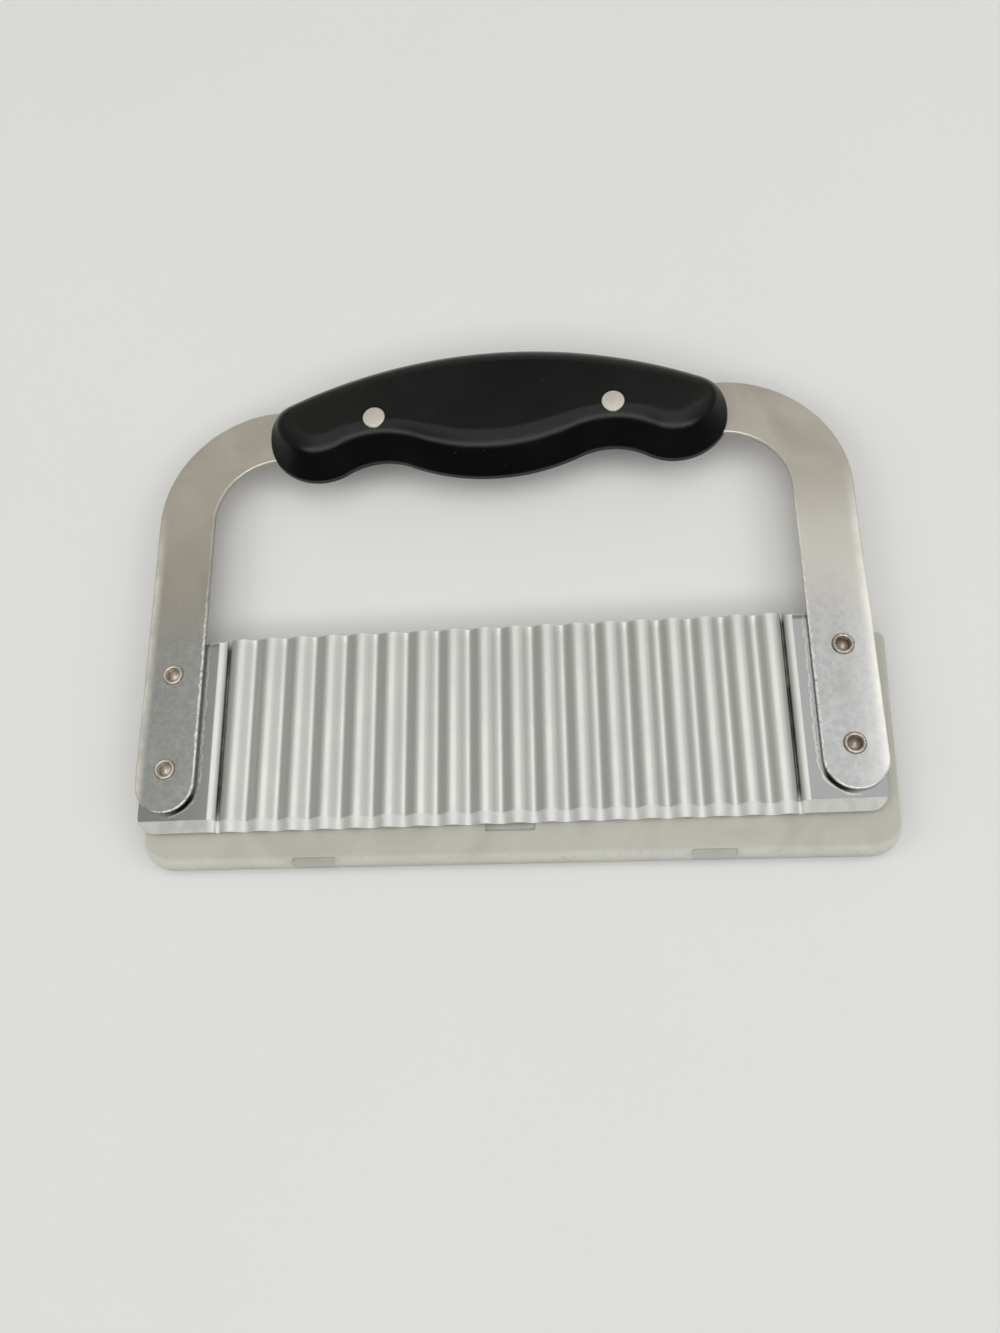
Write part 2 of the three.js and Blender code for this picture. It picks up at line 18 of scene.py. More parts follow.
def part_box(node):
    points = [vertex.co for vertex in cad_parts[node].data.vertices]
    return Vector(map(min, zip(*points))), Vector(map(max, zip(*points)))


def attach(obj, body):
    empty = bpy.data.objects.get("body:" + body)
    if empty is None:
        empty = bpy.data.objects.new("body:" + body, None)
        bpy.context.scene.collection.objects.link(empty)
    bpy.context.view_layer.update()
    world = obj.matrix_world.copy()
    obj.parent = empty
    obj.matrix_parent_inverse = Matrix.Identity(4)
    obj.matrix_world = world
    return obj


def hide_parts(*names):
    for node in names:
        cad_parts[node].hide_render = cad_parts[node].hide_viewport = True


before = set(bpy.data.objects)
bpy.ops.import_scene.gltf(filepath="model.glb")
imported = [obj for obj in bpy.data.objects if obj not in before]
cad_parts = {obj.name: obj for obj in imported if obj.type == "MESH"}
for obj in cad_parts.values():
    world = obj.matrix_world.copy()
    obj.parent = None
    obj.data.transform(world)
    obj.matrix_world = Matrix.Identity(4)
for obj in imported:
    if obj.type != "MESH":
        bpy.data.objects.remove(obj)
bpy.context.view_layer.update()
MM = 0.001

# %% [markdown]
# ## Camera
# The photograph looks down on a table from in front of the cutter. A Blender camera without
# any rotation looks straight down with +Y at the top of the picture, so three small turns from
# there describe the view. The lens follows from the focal length in pixels of the frame, whose
# long side is the one that the sensor size applies to.

# %% Camera
PHOTO_HEIGHT = 1333
FOCAL_PIXELS = 1100
SENSOR = 36
CAMERA_PLACE = (26.5, -66.2, 262.4)
CAMERA_TURNS = (19.22, 6.13, -0.67)
NEAREST = 10


def photo_camera():
    data = bpy.data.cameras.new("photo_camera")
    data.sensor_width = SENSOR
    data.lens = SENSOR * FOCAL_PIXELS / PHOTO_HEIGHT
    data.clip_start = NEAREST * MM
    camera = bpy.data.objects.new("photo_camera", data)
    camera.location = Vector(CAMERA_PLACE) * MM
    camera.rotation_euler = [radians(turn) for turn in CAMERA_TURNS]
    bpy.context.collection.objects.link(camera)
    return camera


bpy.context.scene.camera = photo_camera()
bpy.context.scene.view_settings.view_transform = "Standard"
print("lens in mm:", round(bpy.context.scene.camera.data.lens, 2))

# %% [markdown]
# ## Node helpers
# Every material is a node tree, and written out in full such trees are hard to read, so a few
# short helpers build them. `feed` gives an input a value or another node's output. `add` makes a
# node and feeds its inputs by name, `fill` feeds them in order, and `reckon` does that for the
# Math node, whose inputs all have one name.

# %% Node helpers


def feed(tree, socket, value):
    if isinstance(value, bpy.types.NodeSocket):
        tree.links.new(value, socket)
    else:
        socket.default_value = value


def add(tree, kind, **settings):
    node = tree.nodes.new(kind)
    for name, value in settings.items():
        if hasattr(node, name):
            setattr(node, name, value)
        else:
            feed(tree, node.inputs[name.replace("_", " ")], value)
    return node


def fill(tree, node, *values):
    for socket, value in zip(node.inputs, values):
        feed(tree, socket, value)
    return node


def reckon(tree, operation, *values):
    node = add(tree, "ShaderNodeMath", operation=operation)
    return fill(tree, node, *values).outputs[0]


def new_material(name):
    material = bpy.data.materials.new(name)
    material.use_nodes = True
    return material, material.node_tree, material.node_tree.nodes["Principled BSDF"]


print("node helpers:", [helper.__name__ for helper in (feed, add, fill, reckon, new_material)])

# %% [markdown]
# A mask is a value between 0 and 1 that says where something is. `spread` makes a soft-edged one
# from a place or a noise, and `product` keeps what several masks have in common. A mask then
# steers what is seen: `ranged` runs from one number to another, `between` mixes two values,
# `tint` mixes two colours, and `coat` lays a paint over a colour, at most to the given share.
# Each finish below then reads as a list of coats, in the order in which they went on.

# %% Mask helpers


def spread(tree, value, low, high, to_low=0.0, to_high=1.0):
    node = add(tree, "ShaderNodeMapRange", interpolation_type="SMOOTHSTEP")
    return fill(tree, node, value, low, high, to_low, to_high).outputs[0]


def product(tree, first, *others):
    for other in others:
        first = reckon(tree, "MULTIPLY", first, other)
    return first


def ranged(tree, mask, at_none, at_full):
    return reckon(tree, "MULTIPLY_ADD", mask, at_full - at_none, at_none)


def between(tree, mask, first, second):
    node = fill(tree, add(tree, "ShaderNodeMix"), mask)
    feed(tree, node.inputs["A"], first)
    feed(tree, node.inputs["B"], second)
    return node.outputs[0]


def tint(tree, mask, first, second, blend="MIX"):
    node = add(tree, "ShaderNodeMix", data_type="RGBA", blend_type=blend)
    values = {"Factor": mask, "A": first, "B": second}
    for socket in node.inputs:
        kind = "VALUE" if socket.name == "Factor" else "RGBA"
        if socket.name in values and socket.type == kind:
            feed(tree, socket, values[socket.name])
    return next(socket for socket in node.outputs if socket.type == "RGBA")


def coat(tree, colour, mask, paint, share=1.0):
    return tint(tree, reckon(tree, "MULTIPLY", mask, share), colour, paint)


print("mask helpers:", [helper.__name__ for helper in (spread, product, ranged, between, tint, coat)])

# %% [markdown]
# ## Table and light
# The cutter lies on a pale laminate table in a light room. Steel shows the room more than it
# shows a lamp, so the room is painted with some care: a large bright ceiling light overhead, a
# warm grey ceiling behind it, a brighter light towards the front, which the grip shows along its
# finger side, darker walls at both sides, and dark where the viewer stands. A picture of a room
# could stand in for it, but painted patches can be moved and dimmed one by one.
# A direction is written as two slopes, sideways and towards the back, with 0 and 0 straight up,
# and a patch is a soft-edged rectangle in those slopes. Each patch is painted over the ones
# before it.

# %% Room
WALL = (0.80, 0.79, 0.77, 1)
CEILING = (0.52, 0.505, 0.46, 1)
WALL_TOP = 0.10
CEILING_START = 0.25
LOWEST_SLOPE = 0.08
FAR = 30.0
PATCHES = {
    "left_wall": ((-FAR, -1.0), (-FAR, FAR), 0.15, (0.31, 0.31, 0.30, 1)),
    "right_wall": ((1.4, FAR), (-FAR, FAR), 0.30, (0.34, 0.34, 0.33, 1)),
    "right_ceiling": ((0.45, 1.4), (-0.30, 0.90), 0.08, (0.66, 0.66, 0.64, 1)),
    "ceiling_light": ((-0.36, 0.45), (-0.95, 0.46), 0.05, (1.06, 1.055, 1.04, 1)),
    "front_light": ((-1.1, 1.3), (-1.50, -0.80), 0.16, (2.55, 2.54, 2.50, 1)),
    "back_gap": ((-0.24, 0.10), (0.55, 0.95), 0.06, (0.14, 0.14, 0.14, 1)),
    "viewer": ((-FAR, FAR), (-FAR, -1.55), 0.12, (0.015, 0.015, 0.015, 1)),
}


def stretch(tree, slope, start, end, soft):
    return product(tree, spread(tree, slope, start - soft, start + soft),
                   spread(tree, slope, end + soft, end - soft))


def room():
    world = bpy.data.worlds.new("room")
    world.use_nodes = True
    tree = world.node_tree
    tree.nodes.clear()
    place = add(tree, "ShaderNodeTexCoord").outputs["Generated"]
    sides = add(tree, "ShaderNodeSeparateXYZ", Vector=place).outputs
    up = reckon(tree, "MAXIMUM", sides["Z"], LOWEST_SLOPE)
    side = reckon(tree, "DIVIDE", sides["X"], up)
    back = reckon(tree, "DIVIDE", sides["Y"], up)
    colour = tint(tree, spread(tree, sides["Z"], WALL_TOP, CEILING_START), WALL, CEILING)
    for across, along, soft, paint in PATCHES.values():
        patch = product(tree, stretch(tree, side, *across, soft), stretch(tree, back, *along, soft))
        colour = tint(tree, patch, colour, paint)
    light = add(tree, "ShaderNodeBackground", Color=colour, Strength=1.0)
    output = add(tree, "ShaderNodeOutputWorld")
    feed(tree, output.inputs["Surface"], light.outputs[0])
    bpy.context.scene.world = world


room()
print("room patches:", list(PATCHES))

# %% [markdown]
# A soft lamp at each side gives the shadows their shape, and a faint one above the table
# softens them. A lamp's strength is written as brightness, where 1 makes a white card as bright
# as itself from close by, and turned into watts from its size. Lamps stay out of reflections,
# because the room's own lights are already there. Places and sides are in metres.

# %% Lamps
WATTS_PER_BRIGHTNESS = 4
LAMP_AIM = (0, 0.04, 0)
LAMP_COLOUR = (1.0, 0.997, 0.99)
TABLE_LAMP_PLACE = (0.10, 0.20, 1.20)
TABLE_LAMP_SIDE = 0.9
TABLE_LAMP_BRIGHTNESS = 0.2
FILL_REACH = 1.0
FILL_PLACE = (-0.12, 0.80)
FILL_SIDE = 0.7
FILL_BRIGHTNESS = 1.6


def lamp(name, place, side, brightness):
    data = bpy.data.lights.new(name, "AREA")
    data.size = side
    data.energy = WATTS_PER_BRIGHTNESS * side * side * brightness
    data.color = LAMP_COLOUR
    light = bpy.data.objects.new(name, data)
    light.location = place
    light.rotation_euler = (Vector(LAMP_AIM) - Vector(place)).to_track_quat("-Z", "Y").to_euler()
    light.visible_glossy = False
    bpy.context.collection.objects.link(light)
    print(name, "watts:", round(data.energy, 2))


lamp("table_lamp", TABLE_LAMP_PLACE, TABLE_LAMP_SIDE, TABLE_LAMP_BRIGHTNESS)
lamp("left_fill", (-FILL_REACH, *FILL_PLACE), FILL_SIDE, FILL_BRIGHTNESS)
lamp("right_fill", (FILL_REACH, *FILL_PLACE), FILL_SIDE, FILL_BRIGHTNESS)

# %% [markdown]
# The table is one large square, a hair below the solids so that no two faces coincide. A picture
# of laminate could cover it, but this one is nearly plain, so a faint noise in its colour is
# enough.

# %% Table
TABLE_SIDE = 6.0
TABLE_DROP = 0.00005
TABLE_COLOUR = (0.752, 0.754, 0.748, 1)
TABLE_SHADE = (0.727, 0.729, 0.727, 1)
TABLE_ROUGHNESS = 0.55


def pale_laminate():
    material, tree, shader = new_material("pale_laminate")
    place = add(tree, "ShaderNodeTexCoord").outputs["Object"]
    clouds = add(tree, "ShaderNodeTexNoise", Vector=place, Scale=9.0, Detail=3.0).outputs["Fac"]
    feed(tree, shader.inputs["Base Color"], tint(tree, clouds, TABLE_COLOUR, TABLE_SHADE))
    feed(tree, shader.inputs["Roughness"], TABLE_ROUGHNESS)
    return material


def table_top():
    bm = bmesh.new()
    bmesh.ops.create_grid(bm, x_segments=1, y_segments=1, size=TABLE_SIDE / 2)
    mesh = bpy.data.meshes.new("table_top")
    bm.to_mesh(mesh)
    bm.free()
    mesh.materials.append(pale_laminate())
    table = bpy.data.objects.new("table_top", mesh)
    table.location.z = -TABLE_DROP
    bpy.context.collection.objects.link(table)


table_top()
print("table side in m:", TABLE_SIDE)

# %% [markdown]
# ## Outlines
# The bar, the grip and the guard are all plates cut to an outline of lines and arcs. Each
# outline point carries its outward direction, so a rim can later be rounded by moving points
# straight inwards. An arc whose angle falls is a hollow, and its directions turn over.
# Outlines are in millimetres and run anticlockwise round the material. Most are symmetrical, so
# only the right half is drawn. It starts and ends just off the centre line, so that its mirror
# image repeats no point.

# %% Outline helpers
CHORD = 0.003
LEAST_STEPS = 3
LINE_STEP = 4.0
OFF_CENTRE = 0.01


def arc(centre, radius, start, end):
    turn = radians(end - start)
    steps = max(LEAST_STEPS, ceil(abs(turn) / (2 * acos(1 - CHORD / radius))))
    side = 1 if turn > 0 else -1
    angles = [radians(start) + turn * k / steps for k in range(steps)]
    return [(centre[0] + radius * cos(a), centre[1] + radius * sin(a), side * cos(a), side * sin(a))
            for a in angles]


def line(start, end, step=LINE_STEP):
    run = hypot(end[0] - start[0], end[1] - start[1])
    out = ((end[1] - start[1]) / run, (start[0] - end[0]) / run)
    count = max(1, round(run / step))
    return [(start[0] + (end[0] - start[0]) * k / count, start[1] + (end[1] - start[1]) * k / count, *out)
            for k in range(count)]


def hole(centre, radius):
    return arc(centre, radius, 360, 0)


def mirrored(half):
    other = [(-x, y, -out_x, out_y) for x, y, out_x, out_y in reversed(half)]
    return half + other


print("points round a hole of 2 mm radius:", len(hole((0, 0), 2)))

# %% [markdown]
# A plate is built ring by ring: up the rounded lower rim, up the wall, and over the rounded
# upper rim. A bevel modifier could round the rims of a plain plate, but not with a radius or a
# section that changes along the way. The two flat faces are filled with triangles, and a triangle
# whose corners all lie on one hole is left out. A mesh attribute named edge is 1 along the middle
# of each rounding and 0 on the flats, and the materials use it for wear. A rim may be a radius, a
# function that gives the radius at a place, or a function that gives the whole section at an
# outline point.

# %% Plate rings
RIM_STEPS = 5


def round_rim(radius, steps):
    angles = [pi / 2 * k / steps for k in range(steps + 1)]
    return [(radius * (1 - cos(a)), radius * (1 - sin(a)), sin(2 * a)) for a in angles]


def rim_section(rim, point, steps):
    section = rim(point) if callable(rim) else rim
    return section if isinstance(section, list) else round_rim(section, steps)


def plate_rings(bm, loop, low, high, rims, steps):
    edge = bm.verts.layers.float["edge"]
    rings = [[] for _ in range(2 * steps + 2)]
    for point in loop:
        x, y, out_x, out_y = point
        lower, upper = (rim_section(rim, point, steps) for rim in rims)
        section = [(inset, low + drop, worn) for inset, drop, worn in reversed(lower)]
        section += [(inset, high - drop, worn) for inset, drop, worn in upper]
        for ring, (inset, z, worn) in zip(rings, section):
            vertex = bm.verts.new((x - out_x * inset, y - out_y * inset, z))
            vertex[edge] = worn
            ring.append(vertex)
    for below, above in zip(rings, rings[1:]):
        for k in range(len(loop)):
            after = (k + 1) % len(loop)
            bm.faces.new((below[k], below[after], above[after], above[k]))
    return rings


print("rings from face to face:", 2 * RIM_STEPS + 2)

# %% Plate faces
INSIDE = 1
FILL_MERGE = 1e-6


def fill_flat(bm, rings):
    corners, edges, owners = [], [], []
    for number, ring in enumerate(rings):
        first = len(corners)
        edges += [(first + k, first + (k + 1) % len(ring)) for k in range(len(ring))]
        corners += ring
        owners += [number] * len(ring)
    places = [vertex.co.to_2d() for vertex in corners]
    triangles = delaunay_2d_cdt(places, edges, [], INSIDE, FILL_MERGE)
    origins = [found[0] for found in triangles[3]]
    for triangle in triangles[2]:
        touched = {owners[origins[k]] for k in triangle}
        if touched == {0} or len(touched) > 1:
            bm.faces.new([corners[origins[k]] for k in triangle])


def plate(outline, low, high, rims, holes=(), steps=RIM_STEPS):
    bm = bmesh.new()
    bm.verts.layers.float.new("edge")
    rings = [plate_rings(bm, outline, low, high, rims, steps)]
    rings += [plate_rings(bm, loop, low, high, hole_rims, steps) for loop, hole_rims in holes]
    fill_flat(bm, [each[0] for each in rings])
    fill_flat(bm, [each[-1] for each in rings])
    bmesh.ops.recalc_face_normals(bm, faces=bm.faces)
    return bm


print("points nearer than this in mm are one:", FILL_MERGE)

# %% [markdown]
# Meshes are built in millimetres, where filling and cutting work best, and shrunk to metres
# when they are settled. A settled piece rides on its body, takes the finishes that it is given
# and stands for the solid that it refines. Faces are shaded smooth up to a chosen angle,
# and face-weighted normals keep the flats flat beside their roundings.

# %% Piece helpers
SHARP_ANGLE = 40


def as_object(bm, name):
    mesh = bpy.data.meshes.new(name)
    bm.to_mesh(mesh)
    bm.free()
    mesh.shade_smooth()
    mesh.set_sharp_from_angle(angle=radians(SHARP_ANGLE))
    piece = bpy.data.objects.new(name, mesh)
    bpy.context.collection.objects.link(piece)
    return piece


def settle(piece, body, slot, node, *materials):
    piece.data.transform(Matrix.Scale(MM, 4))
    for material in materials:
        piece.data.materials.append(material)
    piece.modifiers.new("flat_faces", "WEIGHTED_NORMAL").keep_sharp = True
    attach(piece, body)
    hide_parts(node)
    print(piece.name, "vertices:", len(piece.data.vertices), "stands for", node)


def carve(piece, *cutters):
    for cutter in cutters:
        cut = piece.modifiers.new("cut", "BOOLEAN")
        cut.operation = "DIFFERENCE"
        cut.solver = "EXACT"
        cut.object = cutter
    bpy.context.view_layer.update()
    shaped = piece.evaluated_get(bpy.context.evaluated_depsgraph_get())
    mesh = bpy.data.meshes.new_from_object(shaped)
    piece.modifiers.clear()
    plain = piece.data
    piece.data = mesh
    mesh.name = piece.name
    bpy.data.meshes.remove(plain)
    for cutter in cutters:
        bpy.data.meshes.remove(cutter.data)
    mesh.shade_smooth()
    mesh.set_sharp_from_angle(angle=radians(SHARP_ANGLE))


print("edges are sharp from this many degrees:", SHARP_ANGLE)

# %% [markdown]
# ## Shared surface effects
# Real surfaces share a few kinds of wear and texture, so each is a node group built once and
# placed in a material with its own values. All of them work from object coordinates in
# millimetres, so they keep their scale on every piece and move with it.
#
# - brushed_lines: long fine lines left by rolling, brushing or grinding.
# - smudges: broad soft patches where a surface is more or less clean.
# - mottle: the cell-like blotches of worn, etched steel.
# - scratches: sparse thin strokes in one direction, broken along their length.
# - edge_wear: rubbed rims, from the edge attribute of the mesh, broken up by noise.
# - specks: small round grains, of dust on plastic or of bright grit on steel.

# %% Coordinates in millimetres
PER_METRE = 1000.0


def millimetres(tree, turn=None):
    place = add(tree, "ShaderNodeTexCoord").outputs["Object"]
    scaled = add(tree, "ShaderNodeVectorMath", operation="SCALE", Scale=PER_METRE)
    feed(tree, scaled.inputs[0], place)
    if turn is None:
        return scaled.outputs[0]
    turned_place = add(tree, "ShaderNodeVectorRotate", rotation_type="Z_AXIS", Vector=scaled.outputs[0])
    feed(tree, turned_place.inputs["Angle"], turn)
    return turned_place.outputs[0]


def axes(tree):
    return add(tree, "ShaderNodeSeparateXYZ", Vector=millimetres(tree)).outputs


def stretched(tree, place, along, across):
    sides = add(tree, "ShaderNodeSeparateXYZ", Vector=place).outputs
    lengths = {"X": along, "Y": across, "Z": across}
    parts = [reckon(tree, "DIVIDE", sides[axis], length) for axis, length in lengths.items()]
    return fill(tree, add(tree, "ShaderNodeCombineXYZ"), *parts).outputs[0]


print("object coordinates are multiplied by", PER_METRE)

# %% Effect helpers


def effect(name, inputs, output):
    tree = bpy.data.node_groups.new(name, "ShaderNodeTree")
    for label, value in inputs.items():
        socket = tree.interface.new_socket(name=label, in_out="INPUT", socket_type="NodeSocketFloat")
        socket.default_value = value
    tree.interface.new_socket(name=output, in_out="OUTPUT", socket_type="NodeSocketFloat")
    given = tree.nodes.new("NodeGroupInput").outputs
    result = tree.nodes.new("NodeGroupOutput").inputs
    print("effect", name, "takes", list(inputs), "and gives", output)
    return tree, given, result


def place_effect(tree, group, **values):
    return add(tree, "ShaderNodeGroup", node_tree=group, **values).outputs[0]


def noise_pattern(tree, place, **settings):
    return add(tree, "ShaderNodeTexNoise", Vector=place, Scale=1.0, **settings).outputs["Fac"]


print("effect helpers:", [helper.__name__ for helper in (effect, place_effect, noise_pattern)])

# %% Brushed lines


def brushed_lines():
    tree, given, result = effect("brushed_lines", {"Turn": 0.0, "Length": 20.0, "Width": 0.1}, "Value")
    place = stretched(tree, millimetres(tree, given["Turn"]), given["Length"], given["Width"])
    feed(tree, result["Value"], noise_pattern(tree, place, Detail=3.0, Roughness=0.65))
    return tree


BRUSHED = brushed_lines()

# %% Smudges
SMUDGE_LEVELS = (0.32, 0.68)


def smudges():
    tree, given, result = effect("smudges", {"Size": 12.0}, "Value")
    place = stretched(tree, millimetres(tree), given["Size"], given["Size"])
    clouds = noise_pattern(tree, place, Detail=4.0, Roughness=0.55, Distortion=0.6)
    feed(tree, result["Value"], spread(tree, clouds, *SMUDGE_LEVELS))
    return tree


SMUDGES = smudges()

# %% Mottle
MOTTLE_LEVELS = (0.45, 1.0)
CELL_SHARE = 0.45


def mottle():
    tree, given, result = effect("mottle", {"Size": 1.5}, "Value")
    place = stretched(tree, millimetres(tree), given["Size"], given["Size"])
    cells = add(tree, "ShaderNodeTexVoronoi", feature="SMOOTH_F1", Vector=place, Scale=1.0, Smoothness=0.6)
    grains = add(tree, "ShaderNodeTexNoise", Vector=place, Scale=2.3, Detail=5.0, Roughness=0.7)
    mixed = reckon(tree, "MULTIPLY_ADD", cells.outputs["Distance"], CELL_SHARE, grains.outputs["Fac"])
    feed(tree, result["Value"], spread(tree, mixed, *MOTTLE_LEVELS))
    return tree


MOTTLE = mottle()

# %% Scratches
STROKE_SIZE = (9.0, 0.09)
STROKE_LEVEL = 0.82
STROKE_SOFT = 0.05
BREAK_SIZE = (5.0, 1.6)
BREAK_LEVELS = (0.5, 0.62)


def scratches():
    tree, given, result = effect("scratches", {"Turn": 0.0, "Share": 0.1}, "Mask")
    place = millimetres(tree, given["Turn"])
    strokes = noise_pattern(tree, stretched(tree, place, *STROKE_SIZE), Detail=1.0)
    breaks = noise_pattern(tree, stretched(tree, place, *BREAK_SIZE), Detail=2.0)
    level = reckon(tree, "SUBTRACT", STROKE_LEVEL, given["Share"])
    thin = spread(tree, strokes, level, reckon(tree, "ADD", level, STROKE_SOFT))
    feed(tree, result["Mask"], product(tree, thin, spread(tree, breaks, *BREAK_LEVELS)))
    return tree


SCRATCHES = scratches()

# %% Edge wear
RUB_LEVEL = 0.85
RUB_SOFT = 0.25


def edge_attribute(tree):
    return add(tree, "ShaderNodeAttribute", attribute_name="edge").outputs["Fac"]


def edge_wear():
    tree, given, result = effect("edge_wear", {"Size": 2.0, "Share": 0.6}, "Mask")
    place = stretched(tree, millimetres(tree), given["Size"], given["Size"])
    rubs = noise_pattern(tree, place, Detail=4.0, Roughness=0.7)
    start = reckon(tree, "SUBTRACT", RUB_LEVEL, given["Share"])
    broken = spread(tree, rubs, start, reckon(tree, "ADD", start, RUB_SOFT))
    feed(tree, result["Mask"], product(tree, edge_attribute(tree), broken))
    return tree


WEAR = edge_wear()

# %% Specks
SPECK_LEAST = 0.02
SPECK_MOST = 0.08


def specks():
    tree, given, result = effect("specks", {"Spacing": 3.0, "Share": 0.3}, "Mask")
    place = stretched(tree, millimetres(tree), given["Spacing"], given["Spacing"])
    cells = add(tree, "ShaderNodeTexVoronoi", Vector=place, Scale=1.0)
    lot = add(tree, "ShaderNodeSeparateColor", Color=cells.outputs["Color"]).outputs
    chosen = reckon(tree, "LESS_THAN", lot[0], given["Share"])
    radius = ranged(tree, lot[1], SPECK_LEAST, SPECK_MOST)
    grain = reckon(tree, "LESS_THAN", cells.outputs["Distance"], radius)
    feed(tree, result["Mask"], product(tree, chosen, grain))
    return tree


SPECKS = specks()

# %% [markdown]
# ## The bow
# On the real cutter this is a strip of stainless bar, blanked, bent in its own plane and
# tumbled, so its rims are softly rounded and the inner rims of the legs carry an uneven burr.
# A swept curve would give the bends, but the full-round leg ends and rivet holes are simpler
# as a plate with an outline, so the bow is one plate with a rim that wanders where the burr is.

# %% Bow sizes
BAR_WIDTH = 15.0
BEND_OUTSIDE = 32.0
BEND_INSIDE = BEND_OUTSIDE - BAR_WIDTH
RIVET_SPACING = 24.4
GRIP_RIVET_SPACING = 62.2

bow_low, bow_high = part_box("bow_frame")
half_width = bow_high.x / MM
bar_top = bow_high.y / MM
bar_low, bar_high = bow_low.z / MM, bow_high.z / MM
half_bar = BAR_WIDTH / 2
leg_x = half_width - half_bar
inner_edge = leg_x - half_bar
bar_y = bar_top - half_bar
tail_y = bow_low.y / MM + half_bar
bend = (half_width - BEND_OUTSIDE, bar_top - BEND_OUTSIDE)
blade_rivets = [(side * leg_x, y) for side in (-1, 1) for y in (0.0, RIVET_SPACING)]
socket_low, socket_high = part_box("grip_rivet_right_socket")
grip_rivets_y = (socket_low.y + socket_high.y) / 2 / MM
grip_rivets = [(side * GRIP_RIVET_SPACING / 2, grip_rivets_y) for side in (-1, 1)]
print("bow width in mm:", round(2 * half_width, 2), "leg middles at:", round(leg_x, 2))

# %% Bow shape
RIVET_HOLE = 3.9
GRIP_RIVET_HOLE = 3.9
HOLE_RIM = 0.05
BAR_RIM = 0.45
BURR_RIM = 0.42
BURR_TOP = 62.0
BURR_FADE = 20.0
BURR_SIZE = 1.3
BURR_STEP = 0.35
BURR_LIFT = 0.2
# Fading from octave to octave, growth of the frequency, number of octaves.
BURR_NOISE = (1.0, 2.0, 3)


def bow_outline(spare=0.0):
    outside, inside = BEND_OUTSIDE + spare, BEND_INSIDE - spare
    end, tail = half_bar + spare, (leg_x, tail_y)
    inner, outer = leg_x - end, leg_x + end
    top, under = bar_y + end, bar_y - end
    half = line((OFF_CENTRE, under), (bend[0], under)) + arc(bend, inside, 90, 0)
    half += line((inner, bend[1]), (inner, tail_y), BURR_STEP) + arc(tail, end, 180, 360)
    half += line((outer, tail_y), (outer, bend[1])) + arc(bend, outside, 0, 90)
    half += line((bend[0], top), (OFF_CENTRE, top))
    return mirrored(half)


def bow_rim(point):
    x, y = point[:2]
    inner_side = abs(x) < inner_edge + BAR_RIM and y < bend[1]
    if not inner_side:
        return BAR_RIM
    rough = noise.fractal(Vector((x, y, 0)) / BURR_SIZE, *BURR_NOISE)
    fade = min(1.0, max(0.0, (BURR_TOP - y) / BURR_FADE))
    return BAR_RIM + fade * BURR_RIM * max(-BURR_LIFT, rough + BURR_LIFT)


def bow_shape():
    rims = (HOLE_RIM, HOLE_RIM)
    holes = [(hole(place, RIVET_HOLE / 2), rims) for place in blade_rivets]
    holes += [(hole(place, GRIP_RIVET_HOLE / 2), rims) for place in grip_rivets]
    return plate(bow_outline(), bar_low, bar_high, (BAR_RIM, bow_rim), holes=holes)


bow = as_object(bow_shape(), "bow_bar")
print("bow faces:", len(bow.data.polygons))

# %% [markdown]
# The steel is satin and a little warm round the bends, and brighter, etched and blotchy on the
# lower legs, where the cutter meets wet food. Soft masks along the leg lead from one to the
# other, and the mottle group breaks up colour and roughness below. The right leg is painted
# lighter and the left leg is painted in shade, for the light that each of them catches. A painted
# cream highlight lies along the legs' outer edges, whose rims are polished by the hand, and the
# sheared walls are dull and painted in shade. The burr on the inner edges scatters light like
# white paint, a painted highlight on a real burr, and the right leg's outer edge, low down,
# carries a painted highlight made the same way. Bright grains of grit are painted as glints.
# A painted image could show all this, but masks in millimetres follow the legs when a size
# changes.

# %% Bow masks
LEG_START = 78.0
LEG_FULL = 52.0
ETCH_FULL = 24.0


def steel_base(name):
    material, tree, shader = new_material(name)
    shader.inputs["Metallic"].default_value = 1.0
    return material, tree, shader


def bump(tree, shader, height, distance):
    node = add(tree, "ShaderNodeBump", Height=height, Distance=distance * MM, Strength=1.0)
    feed(tree, shader.inputs["Normal"], node.outputs[0])


def bow_masks(tree):
    place = axes(tree)
    on = SimpleNamespace(height=place["Z"], outward=reckon(tree, "ABSOLUTE", place["X"]))
    on.leg = spread(tree, place["Y"], LEG_START, LEG_FULL)
    on.low_leg = spread(tree, place["Y"], LEG_FULL, ETCH_FULL)
    on.right = spread(tree, place["X"], -leg_x, leg_x)
    on.blotches = place_effect(tree, MOTTLE, Size=1.6)
    on.fine = place_effect(tree, MOTTLE, Size=0.35)
    on.dull = place_effect(tree, SMUDGES, Size=16.0)
    on.stains = place_effect(tree, SMUDGES, Size=5.0)
    on.worn = place_effect(tree, WEAR, Size=0.9, Share=0.55)
    on.marks = place_effect(tree, SCRATCHES, Turn=radians(35), Share=0.14)
    return on


print("etched below y in mm:", LEG_FULL, "fully from:", ETCH_FULL)

# %% Bow colours
SATIN = (0.58, 0.545, 0.475, 1)
SATIN_CLEAN = (0.66, 0.625, 0.56, 1)
RIGHT_LEG_LIGHT = (0.80, 0.79, 0.755, 1)
ETCHED = (0.47, 0.475, 0.48, 1)
ETCHED_LIGHT = (0.62, 0.625, 0.635, 1)
STAIN = (0.42, 0.42, 0.41, 1)
ETCHED_GRAIN = (0.64, 0.645, 0.655, 1)
GRIT_AND_GLINT = (0.98, 0.98, 0.98, 1)
OUTER_HALF = (0.92, 0.92, 0.91, 1)
OUTER_START = 2.0
GRIT_WIDTH = 3.0
GRIT_FULL = 0.5


def satin_colour(tree, on):
    colour = tint(tree, on.dull, SATIN, SATIN_CLEAN)
    # Painted light: the right leg is painted lighter, as it catches more of the room's light.
    return coat(tree, colour, product(tree, on.leg, on.right), RIGHT_LEG_LIGHT, share=0.6)


